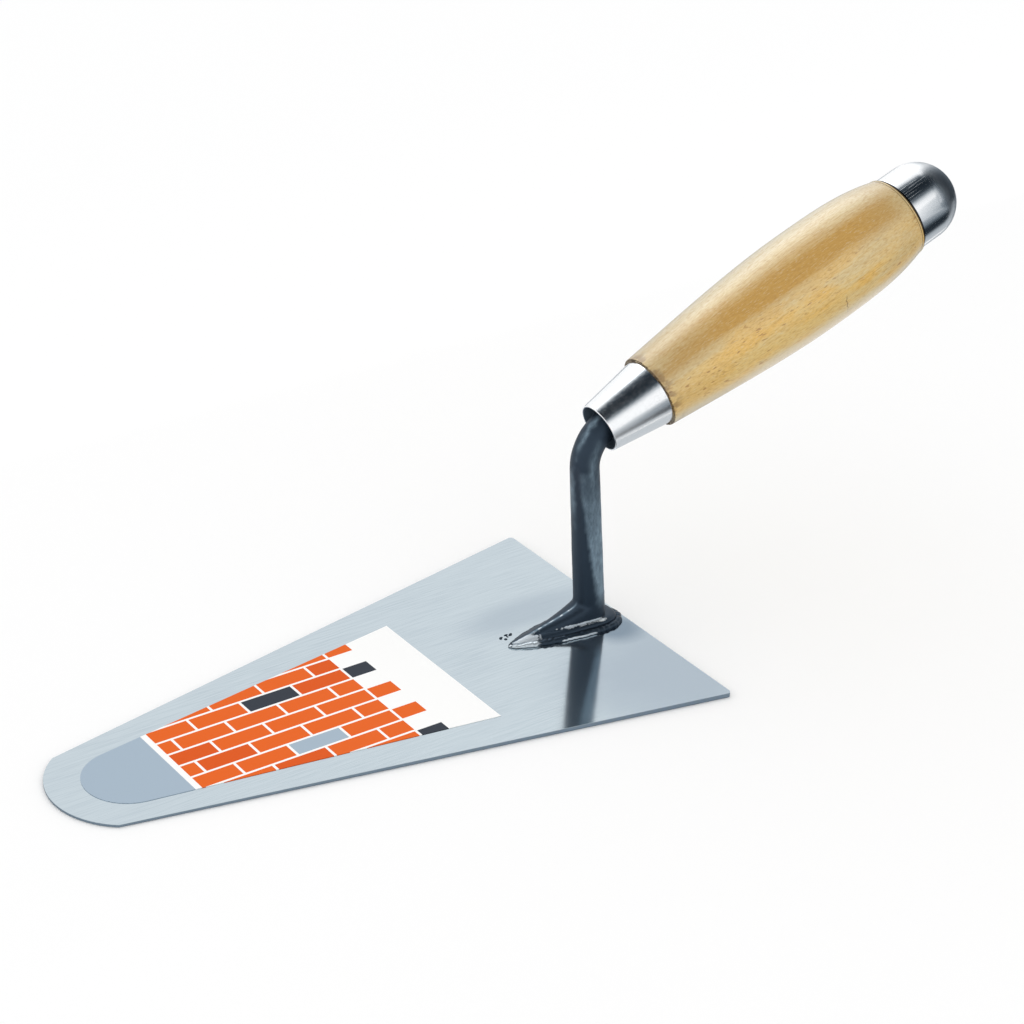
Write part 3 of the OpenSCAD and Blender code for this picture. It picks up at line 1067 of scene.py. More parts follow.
class NodeTool:
    """A Geometry Nodes tree with named inputs, applied to an object's own mesh."""

    def __init__(self, name: str) -> None:
        """Makes the tree with its geometry sockets.

        Args:
            name: Name of the tree.
        """
        self.tree = bpy.data.node_groups.new(name, "GeometryNodeTree")
        self.graph = Graph(self.tree)
        self.keys: dict[str, str] = {}
        for way in ("INPUT", "OUTPUT"):
            self.tree.interface.new_socket("Geometry", in_out=way, socket_type="NodeSocketGeometry")
        self.source = self.graph.add("NodeGroupInput")
        self.result = self.graph.add("NodeGroupOutput")

    def given(self, name: str, kind: str) -> Socket:
        """Adds a named input.

        Args:
            name: Name of the input.
            kind: Kind of value: Float, Int or Material.

        Returns:
            The socket inside the tree.
        """
        item = self.tree.interface.new_socket(name, in_out="INPUT", socket_type="NodeSocket" + kind)
        self.keys[name] = item.identifier
        return self.source.outputs[name]

    def deliver(self, geometry: Socket, material: Socket) -> None:
        """Ends the tree in real, smooth faces that have the material.

        Args:
            geometry: What the tree has made.
            material: The tree's material input.
        """
        real = self.graph.add("GeometryNodeRealizeInstances", {0: geometry}).outputs[0]
        smooth = self.graph.add("GeometryNodeSetShadeSmooth", {0: real}).outputs[0]
        inputs = {"Geometry": smooth, "Material": material}
        dressed = self.graph.add("GeometryNodeSetMaterial", inputs).outputs[0]
        self.graph.feed(self.result.inputs[0], dressed)

    def apply(self, piece: bpy.types.Object, **values: object) -> None:
        """Turns an object into a plain mesh of the tree's result.

        Args:
            piece: Object whose mesh the tree starts from.
            **values: The named inputs, with _ for a space.
        """
        modifier = piece.modifiers.new(self.tree.name, "NODES")
        modifier.node_group = self.tree
        for name, value in values.items():
            modifier[self.keys[name.replace("_", " ")]] = value
        evaluated = piece.evaluated_get(bpy.context.evaluated_depsgraph_get())
        mesh = bpy.data.meshes.new_from_object(evaluated)
        piece.modifiers.clear()
        piece.data = mesh


class Lathe(NodeTool):
    """Turns a profile in the XY plane, radius by height, round the Z axis."""

    hub: float = 1.0

    def __init__(self) -> None:
        """Builds the tree: the profile is swept round a small hub circle."""
        super().__init__("turned_piece")
        sides = self.given("Sides", "Int")
        material = self.given("Finish", "Material")
        graph = self.graph
        profile = graph.add("GeometryNodeMeshToCurve", {0: self.source.outputs[0]}).outputs[0]
        hub = graph.add("GeometryNodeCurvePrimitiveCircle", {"Resolution": sides, "Radius": self.hub * MM})
        turned = graph.add("GeometryNodeCurveToMesh", {"Curve": hub.outputs[0], "Profile Curve": profile})
        self.deliver(turned.outputs[0], material)

    def turn(self, name: str, profile: Sequence[Point], closed: bool, sides: int,
             material: bpy.types.Material) -> bpy.types.Object:
        """Turns one piece and sets it on the handle's axis.

        Args:
            name: Name of the piece.
            profile: Radii and distances along the handle, in millimetres.
            closed: Whether the last point joins the first.
            sides: Count of faces round the piece.
            material: Its finish.

        Returns:
            The turned piece.
        """
        points = [((radius - self.hub) * MM, -along * MM, 0.0) for radius, along in profile]
        count = len(points)
        edges = [(i, (i + 1) % count) for i in range(count if closed else count - 1)]
        piece = new_object(name, points, edges)
        self.apply(piece, Sides=sides, Finish=material)
        piece.data.transform(AXIS.matrix)
        finish_mesh(piece)
        return piece


def arc(centre: Point, radius: float, start: float, end: float, steps: int) -> list[Point]:
    """Points on an arc.

    Args:
        centre: Centre of the arc.
        radius: Radius of the arc.
        start: First angle, in degrees.
        end: Last angle, in degrees.
        steps: Count of steps.

    Returns:
        The points from the first angle to the last.
    """
    angles = [math.radians(start + (end - start) * i / steps) for i in range(steps + 1)]
    return [(centre[0] + radius * math.cos(a), centre[1] + radius * math.sin(a)) for a in angles]


def curve(a: Point, b: Point, c: Point, d: Point, steps: int) -> list[Point]:
    """Points on a cubic curve.

    Args:
        a: First point.
        b: Point that the curve leaves towards.
        c: Point that the curve arrives from.
        d: Last point.
        steps: Count of steps.

    Returns:
        The points from the first to the last.
    """
    made = []
    for i in range(steps + 1):
        t = i / steps
        u = 1 - t
        weights = (u * u * u, 3 * u * u * t, 3 * u * t * t, t * t * t)
        made.append(tuple(sum(w * p[k] for w, p in zip(weights, (a, b, c, d))) for k in (0, 1)))
    return made


@dataclass
class Blade:
    """The ground blade and the printed film on it."""

    heel_t: float = 1.5
    tip_t: float = 0.8

    @cached_property
    def heel_x(self) -> float:
        """Place of the heel along X."""
        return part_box("blade")[0].x / MM

    @cached_property
    def tip_x(self) -> float:
        """Place of the tip along X."""
        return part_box("blade")[1].x / MM

    def top(self, x: float) -> float:
        """Height of the blade's top face at a place along X."""
        return blend(self.heel_t, self.tip_t, (x - self.heel_x) / (self.tip_x - self.heel_x))

    def dress(self) -> None:
        """Gives the blade and its label their finishes."""
        steel = BrushedSteel(heel_x=self.heel_x, tip_x=self.tip_x, heel_t=self.heel_t, tip_t=self.tip_t)
        dress_node("blade", steel.material())
        dress_node("blade_label", LabelPrint(heel_x=self.heel_x).material())


@dataclass
class Shank:
    """The forging: a leaf-shaped foot, a neck that bends back into the handle, and a tang.

    The powers give the squareness of its sections, where 2 is an ellipse.
    """

    blade: Blade
    neck_d: float = 9.3
    elbow_r: float = 14.0
    nose_reach: float = 30.0
    foot_rear: float = 8.4
    foot_w: float = 13.4
    foot_h: float = 2.8
    crest_slope: float = 13.0
    crest_blend: float = 3.2
    tang_shoulder: float = 4.7
    tang_w: float = 7.4
    tang_tip_w: float = 4.0
    tang_len: float = 76.0
    weld_h: float = 1.6
    nose_power: float = 1.4
    heel_power: float = 2.6
    low_neck_power: float = 2.5
    round_power: float = 2.0
    tang_power: float = 4.0
    sides: int = 96
    foot_rings: int = 44
    neck_rings: int = 30
    elbow_rings: int = 30
    tang_rings: int = 4
    dent_size: float = 6.0
    dent_depth: float = 0.07
    dent_start: Point = (0.2, 1.2)

    @property
    def neck_r(self) -> float:
        """Radius of the neck."""
        return self.neck_d / 2

    @property
    def lean(self) -> float:
        """Forward lean of the neck, in radians."""
        return math.radians(AXIS.neck_lean)

    @property
    def crest_top_h(self) -> float:
        """Height above the blade where the crest has run into the neck."""
        run = (self.nose_reach - self.neck_r) * math.tan(math.radians(self.crest_slope))
        return self.weld_h + run + self.crest_blend

    @property
    def turn(self) -> float:
        """Angle that the elbow turns through, in radians."""
        return math.radians(90 + AXIS.neck_lean - AXIS.rise)

    @property
    def tangent(self) -> float:
        """Length between the elbow's corner and the ends of its bend."""
        return self.elbow_r * math.tan(self.turn / 2)

    @property
    def bend_z(self) -> float:
        """Height where the bend starts."""
        return AXIS.elbow_z - self.tangent * math.cos(self.lean)

    @property
    def bend_centre(self) -> Vector:
        """Centre of the bend, behind the neck."""
        x = self.bend_z * math.tan(self.lean) - self.elbow_r * math.cos(self.lean)
        return Vector((x, 0.0, self.bend_z + self.elbow_r * math.sin(self.lean)))

    def section(
        self, front: float, rear: float, half_w: float, front_power: float, rear_power: float
    ) -> list[Point]:
        """Outline of one section.

        Args:
            front: Reach in front of the axis.
            rear: Reach behind the axis.
            half_w: Half of the width.
            front_power: Squareness of the front half, where 2 is an ellipse.
            rear_power: Squareness of the rear half.

        Returns:
            Points round the section, from the front.
        """
        points = []
        for i in range(self.sides):
            angle = 2 * math.pi * i / self.sides
            c, s = math.cos(angle), math.sin(angle)
            reach, power = (front, front_power) if c > 0 else (rear, rear_power)
            x = reach * math.copysign(abs(c) ** (2 / power), c)
            points.append((x, half_w * math.copysign(abs(s) ** (2 / power), s)))
        return points

    def foot_section(self, h: float) -> list[Point]:
        """Outline of the foot.

        Args:
            h: Height above the blade.

        Returns:
            Points round the section, from the front.
        """
        share = min(1.0, max(0.0, (h - self.weld_h) / (self.foot_h - self.weld_h)))
        swell = math.sqrt(1 - share * share)
        fall = self.nose_reach - max(0.0, h - self.weld_h) / math.tan(math.radians(self.crest_slope))
        gap = self.neck_r - fall
        reach = (self.neck_r + fall + math.hypot(gap, self.crest_blend)) / 2
        above = (h - self.foot_h) / (self.crest_top_h - self.foot_h)
        return self.section(
            reach,
            self.neck_r + (self.foot_rear - self.neck_r) * swell,
            self.neck_r + (self.foot_w / 2 - self.neck_r) * swell,
            blend(self.nose_power, self.low_neck_power, above),
            blend(self.heel_power, self.low_neck_power, share),
        )

    @staticmethod
    def placed(points: Sequence[Point], x: float, z: float, lean: float) -> list[Vector]:
        """Section set across the axis at a place, leaning forward by an angle in radians."""
        return [Vector((x + p[0] * math.cos(lean), p[1], z - p[0] * math.sin(lean))) for p in points]

    def foot_ring(self, h: float) -> list[Vector]:
        """The foot's ring, the lowest on the blade's sloping face.

        Args:
            h: Height above the blade.

        Returns:
            The ring's points.
        """
        fall = math.atan((self.blade.heel_t - self.blade.tip_t) / (self.blade.tip_x - self.blade.heel_x))
        lean = blend(fall, self.lean, h / self.crest_top_h)
        return self.placed(self.foot_section(h), h * math.tan(self.lean), self.blade.top(0.0) + h, lean)

    def rings(self) -> list[list[Vector]]:
        """All rings from the foot's underside to the tang's point.

        Returns:
            The rings, with equal counts of points.
        """
        heights = [self.crest_top_h * i / self.foot_rings for i in range(self.foot_rings + 1)]
        made = [self.foot_ring(h) for h in sorted({*heights, self.weld_h, self.foot_h})]
        neck_z = self.blade.top(0.0) + self.crest_top_h
        for i in range(1, self.neck_rings + 1):
            share = i / self.neck_rings
            z = blend(neck_z, self.bend_z, share)
            power = blend(self.low_neck_power, self.round_power, share)
            outline = self.section(self.neck_r, self.neck_r, self.neck_r, power, power)
            made.append(self.placed(outline, z * math.tan(self.lean), z, self.lean))
        outline = self.section(self.neck_r, self.neck_r, self.neck_r, self.round_power, self.round_power)
        for i in range(1, self.elbow_rings + 1):
            lean = self.lean - self.turn * i / self.elbow_rings
            x = self.bend_centre.x + self.elbow_r * math.cos(lean)
            z = self.bend_centre.z - self.elbow_r * math.sin(lean)
            made.append(self.placed(outline, x, z, lean))
        for i in range(self.tang_rings + 1):
            share = i / self.tang_rings
            half = blend(self.tang_w, self.tang_tip_w, share) / 2
            outline = self.section(half, half, half, self.tang_power, self.tang_power)
            along = self.tangent + self.tang_shoulder + self.tang_len * share
            x = AXIS.corner.x + along * math.sin(AXIS.lean)
            z = AXIS.corner.z + along * math.cos(AXIS.lean)
            made.append(self.placed(outline, x, z, AXIS.lean))
        return made

    def course(self, place: Vector) -> tuple[float, float]:
        """Where a place lies on the neck and the elbow.

        Args:
            place: Place in millimetres.

        Returns:
            How far the place lies in front of the axis, and its share of the way: 0 where the neck starts,
            1 where it starts to bend and 2 where the bend ends.
        """
        neck_z = self.blade.top(0.0) + self.crest_top_h
        if place.z < self.bend_z:
            return place.x - place.z * math.tan(self.lean), (place.z - neck_z) / (self.bend_z - neck_z)
        out = Vector((place.x - self.bend_centre.x, place.z - self.bend_centre.z))
        turned = math.atan2(out.y, out.x) + self.lean
        return out.length - self.elbow_r, 1 + turned / self.turn

    def build(self) -> None:
        """Makes the forging and sets it in the CAD node's place."""
        rings = self.rings()
        n = self.sides
        points = [p for ring in rings for p in ring]
        faces = [
            (k * n + i, k * n + (i + 1) % n, (k + 1) * n + (i + 1) % n, (k + 1) * n + i)
            for k in range(len(rings) - 1)
            for i in range(n)
        ]
        faces.append(tuple(range(n - 1, -1, -1)))
        faces.append(tuple(range((len(rings) - 1) * n, len(rings) * n)))
        piece = new_object("forged_shank", [p * MM for p in points], (), faces)
        finish_mesh(piece)
        self.dent(piece)
        skin = WearAndSheen(self)
        rules = {BluedForging.bare_attribute: skin.bareness, BluedForging.sheen_wear_attribute: skin.wear_and_painted_sheen}
        for name, rule in rules.items():
            attribute = piece.data.attributes.new(name, "FLOAT", "POINT")
            for vertex, value in zip(piece.data.vertices, attribute.data):
                value.value = rule(vertex.co / MM)
        piece.data.materials.append(BluedForging().material())
        set_in_place(piece, "forged_steel", "shank")

    def dent(self, piece: bpy.types.Object) -> None:
        """Moves the surface above the weld in and out a little, as hammering leaves it.

        Args:
            piece: The forging.
        """
        normals = [v.normal.copy() for v in piece.data.vertices]
        for vertex, normal in zip(piece.data.vertices, normals):
            place = vertex.co / MM
            wave = noise.fractal(place / self.dent_size, 1.0, 2.0, 3)
            rising = passage(place.z - self.blade.top(place.x), *self.dent_start)
            vertex.co += normal * (wave * self.dent_depth * rising * MM)
        piece.data.update()


@dataclass(frozen=True)
class NeckGlint:
    """A painted highlight: a bright streak along the neck, laid in the colour of thinned skin.

    Its side and width are measured across the neck, in radii of it. comes and goes hold shares of the way
    along the neck: the first of each pair has no streak, and the second has all of it.
    """

    side: float
    width: float
    comes: Point
    goes: Point
    strength: float

    def share(self, side: float, way: float) -> float:
        """Strength of the streak at a place across and along the neck."""
        along = passage(way, *self.comes) * passage(way, *self.goes)
        return self.strength * peak(side, self.side, self.width) * along


@dataclass(frozen=True)
class WearAndSheen:
    """Where the shank's dark skin is scoured to bared steel or thinned with wear, and where painted sheen and
    painted highlights lie on it.

    The sheen's side is a direction, forward and across. Each other pair goes from where a mark is absent to
    where
    it is full: in millimetres on the foot, and on the neck in radii across it or shares of the way along.
    seam_reach and nose_reach are shares of the foot's reach.
    """

    shank: Shank
    sheen_side: Point = (-0.82, 0.57)
    side_fray: float = 0.12
    side_fray_size: float = 2.2
    way_fray: float = 0.15
    way_fray_size: float = 2.8
    neck_start: Point = (-0.1, 0.05)
    flank_low: float = 0.42
    flank_high: float = -0.6
    flank_soft: float = 0.3
    flank_goes: Point = (1.1, 0.55)
    edge_side: Point = (0.6, 0.8)
    edge_comes: Point = (0.55, 0.75)
    edge_goes: Point = (1.1, 0.85)
    edge_share: float = 0.6
    # Painted highlights on the neck and the elbow.
    glints: tuple[NeckGlint, ...] = (
        NeckGlint(side=0.5, width=0.26, comes=(0.6, 1.0), goes=(1.7, 1.25), strength=0.75),
        NeckGlint(side=-0.68, width=0.12, comes=(1.2, 1.45), goes=(2.05, 1.85), strength=0.7),
    )
    # The crest line, the seam and the nose: bared steel with painted highlights.
    crest_y: float = 0.4
    crest_width: float = 0.32
    crest_comes: Point = (4.0, 6.0)
    crest_goes: Point = (9.0, 7.0)
    bare_y: float = 0.3
    bare_crest: float = 0.55
    crest_patches: float = 0.6
    bare_seam: float = 0.75
    seam_width: float = 0.42
    seam_comes: Point = (-4.0, -1.0)
    seam_reach: float = 0.45
    seam_run: float = 4.0
    nose_reach: float = 0.62
    nose_run: float = 6.0
    nose_patches: float = 0.5
    patch_size: float = 1.8
    patch_depth: float = 0.7

    def bareness(self, place: Vector) -> float:
        """How far grinding and rubbing have bared the steel at a place, together with the painted highlights
        on the crest and on the near side's seam and nose.

        Args:
            place: Place in millimetres.

        Returns:
            0 where the dark skin is whole, up to 1 on bared steel and full painted highlight.
        """
        patchy = self.patch_depth * noise.noise(place / self.patch_size)
        crest = self.crest(place) * (self.bare_crest + self.crest_patches * patchy)
        # The seam and the nose are marked on the near side only: painted highlight as well as bared steel.
        if place.y < self.bare_y:
            return crest
        h = place.z - self.shank.blade.top(place.x)
        seam_end = self.seam_reach * self.shank.nose_reach
        seam = peak(h, self.shank.foot_h, self.seam_width)
        seam *= passage(place.x, *self.seam_comes) * passage(place.x, seam_end + self.seam_run, seam_end)
        nose_start = self.nose_reach * self.shank.nose_reach
        nose = passage(place.x, nose_start, nose_start + self.nose_run)
        return max((self.bare_seam + patchy) * seam, nose + self.nose_patches * patchy * nose, crest)

    def crest(self, place: Vector) -> float:
        """Share of the narrow line along the foot's crest, scoured by rubbing and given a painted highlight.

        Args:
            place: Place in millimetres.

        Returns:
            1 on the line and 0 beside it.
        """
        h = place.z - self.shank.blade.top(place.x)
        line = peak(place.y, self.crest_y, self.crest_width) * passage(place.x, *self.crest_comes)
        return line * passage(h, *self.crest_goes)

    def wear_and_painted_sheen(self, place: Vector) -> float:
        """How far the skin has thinned with wear on the foot's crest and along the neck, with painted sheen
        on one flank and painted highlights along the neck's other edge and near the elbow.

        Args:
            place: Place in millimetres.

        Returns:
            0 where the skin is whole and has no painted sheen, up to 1 where wear and painted sheen are
            fullest.
        """
        front, rise = self.shank.course(place)
        # Painted sheen on the flank towards the given side, and a painted highlight along the neck's other
        # edge, both mixed with wear.
        side = Vector((front, place.y)).dot(self.sheen_side) / self.shank.neck_r
        side += self.side_fray * noise.noise(place / self.side_fray_size)
        way = rise + self.way_fray * noise.noise(place / self.way_fray_size)
        limit = blend(self.flank_low, self.flank_high, rise)
        flank = passage(side, limit, limit + self.flank_soft) * passage(way, *self.flank_goes)
        edge = self.edge_share * passage(-side, *self.edge_side)
        edge *= passage(way, *self.edge_comes) * passage(way, *self.edge_goes)
        worst = max(flank, edge, *(glint.share(side, way) for glint in self.glints))
        return max(self.crest(place), worst * passage(rise, *self.neck_start))


class WeldRun(NodeTool):
    """Lays overlapping drops along a path and melts them into one run with a flat underside.

    The drops are smaller on the far side and at the nose: far_fade is in radii of a drop across the path.
    """

    smallest: Triple = (0.85, 0.85, 0.7)
    largest: Triple = (1.2, 1.2, 1.05)
    drop_detail: int = 3
    far_size: float = 0.62
    far_fade: Point = (-1.5, 1.0)
    nose_size: float = 0.6
    nose_run: float = 8.0
    calming: int = 6

    def __init__(self) -> None:
        """Builds the tree."""
        super().__init__("weld_run")
        pitch = self.given("Pitch", "Float")
        radius = self.given("Drop radius", "Float")
        grain = self.given("Grain", "Float")
        floor = self.given("Floor", "Float")
        nose = self.given("Nose", "Float")
        seed = self.given("Seed", "Int")
        material = self.given("Finish", "Material")
        graph = self.graph
        path = graph.add("GeometryNodeMeshToCurve", {0: self.source.outputs[0]}).outputs[0]
        spacing = {"Curve": path, "Length": pitch}
        even = graph.add("GeometryNodeResampleCurve", spacing, mode="LENGTH").outputs[0]
        ball = {"Radius": radius, "Subdivisions": self.drop_detail}
        drop = graph.add("GeometryNodeMeshIcoSphere", ball).outputs[0]
        sizes = graph.add("FunctionNodeRandomValue", {"Seed": seed}, data_type="FLOAT_VECTOR")
        sizes.inputs[0].default_value = self.smallest
        sizes.inputs[1].default_value = self.largest
        points = graph.add("GeometryNodeCurveToPoints", {"Curve": even}, mode="EVALUATED").outputs[0]
        x, y, z = graph.parts(graph.add("GeometryNodeInputPosition").outputs[0])
        near = graph.fade(graph.math("DIVIDE", y, radius), *self.far_fade)
        behind = graph.fade(graph.math("SUBTRACT", x, nose), 0.0, -self.nose_run * MM)
        full = graph.product(graph.span(near, self.far_size, 1.0), graph.span(behind, self.nose_size, 1.0))
        laid = graph.add(
            "GeometryNodeInstanceOnPoints",
            {"Points": points, "Instance": drop, "Scale": graph.vector("MULTIPLY", sizes.outputs[0], full)},
        ).outputs[0]
        real = graph.add("GeometryNodeRealizeInstances", {0: laid}).outputs[0]
        volume = graph.add(
            "GeometryNodeMeshToVolume",
            {"Mesh": real, "Voxel Size": grain},
            resolution_mode="VOXEL_SIZE",
        ).outputs[0]
        melted = graph.add(
            "GeometryNodeVolumeToMesh",
            {"Volume": volume, "Voxel Size": grain},
            resolution_mode="VOXEL_SIZE",
        ).outputs[0]
        where = graph.add("GeometryNodeInputPosition").outputs[0]
        blur = {0: where, "Iterations": self.calming}
        calm = graph.add("GeometryNodeBlurAttribute", blur, data_type="FLOAT_VECTOR").outputs[0]
        flowed = graph.add("GeometryNodeSetPosition", {"Geometry": melted, "Position": calm}).outputs[0]
        flat = graph.joined(x, y, graph.math("MAXIMUM", z, floor))
        seated = graph.add("GeometryNodeSetPosition", {"Geometry": flowed, "Position": flat}).outputs[0]
        self.deliver(seated, material)


class Spatter(NodeTool):
    """Scatters small flattened drops over a patch."""

    smallest: Triple = (0.4, 0.4, 0.3)
    largest: Triple = (1.3, 1.3, 0.8)
    drop_detail: int = 2

    def __init__(self) -> None:
        """Builds the tree."""
        super().__init__("weld_spatter")
        density = self.given("Density", "Float")
        radius = self.given("Drop radius", "Float")
        seed = self.given("Seed", "Int")
        material = self.given("Finish", "Material")
        graph = self.graph
        points = graph.add(
            "GeometryNodeDistributePointsOnFaces",
            {"Mesh": self.source.outputs[0], "Density": density, "Seed": seed},
        ).outputs[0]
        ball = {"Radius": radius, "Subdivisions": self.drop_detail}
        drop = graph.add("GeometryNodeMeshIcoSphere", ball).outputs[0]
        sizes = graph.add("FunctionNodeRandomValue", {"Seed": seed}, data_type="FLOAT_VECTOR")
        sizes.inputs[0].default_value = self.smallest
        sizes.inputs[1].default_value = self.largest
        laid = graph.add(
            "GeometryNodeInstanceOnPoints",
            {"Points": points, "Instance": drop, "Scale": sizes.outputs[0]},
        ).outputs[0]
        self.deliver(laid, material)


@dataclass
class Weld:
    """The weld run round the foot and the spatter at its nose."""

    shank: Shank
    reach: float = 2.0
    path_share: float = 0.3
    path_rise: float = 0.3
    pitch: float = 0.95
    drop_radius: float = 1.4
    grain: float = 0.16
    run_seed: int = 4
    spatter_centre: Point = (28.2, -5.8)
    spatter_size: Point = (4.5, 3.0)
    spatter_density: float = 0.5
    spatter_radius: float = 0.6
    spatter_seed: int = 3

    def path(self) -> list[Vector]:
        """Closed path of the run, a little way out from the foot.

        Returns:
            Points in millimetres.
        """
        outline = self.shank.foot_section(0.0)
        count = len(outline)
        made = []
        for i, (x, y) in enumerate(outline):
            ahead, behind = outline[(i + 1) % count], outline[i - 1]
            along = Vector((ahead[0] - behind[0], ahead[1] - behind[1]))
            out = Vector((along.y, -along.x)).normalized() * (self.path_share * self.reach)
            made.append(Vector((x + out.x, y + out.y, self.shank.blade.top(x) + self.path_rise)))
        return made

    def build(self) -> None:
        """Makes the run and the spatter."""
        finish = WeldMetal(nose_x=self.shank.nose_reach, top_z=self.shank.blade.top(0.0)).material()
        path = self.path()
        edges = [(i, (i + 1) % len(path)) for i in range(len(path))]
        run = new_object("weld_run", [p * MM for p in path], edges)
        WeldRun().apply(
            run,
            Pitch=self.pitch * MM,
            Drop_radius=self.drop_radius * MM,
            Grain=self.grain * MM,
            Floor=self.shank.blade.top(0.0) * MM,
            Nose=self.shank.nose_reach * MM,
            Seed=self.run_seed,
            Finish=finish,
        )
        finish_mesh(run, None)
        set_in_place(run, "weld_metal", "weld_bead")
        half_x, half_y = (size / 2 for size in self.spatter_size)
        middle_x, middle_y = self.spatter_centre
        signs = ((-1, -1), (1, -1), (1, 1), (-1, 1))
        corners = [(middle_x + sx * half_x, middle_y + sy * half_y) for sx, sy in signs]
        patch = [Vector((x, y, self.shank.blade.top(x))) * MM for x, y in corners]
        spatter = new_object("weld_spatter", patch, (), [(0, 1, 2, 3)])
        Spatter().apply(
            spatter,
            Density=self.spatter_density / MM ** 2,
            Drop_radius=self.spatter_radius * MM,
            Seed=self.spatter_seed,
            Finish=finish,
        )
        finish_mesh(spatter, None)
        set_in_place(spatter, "weld_metal")


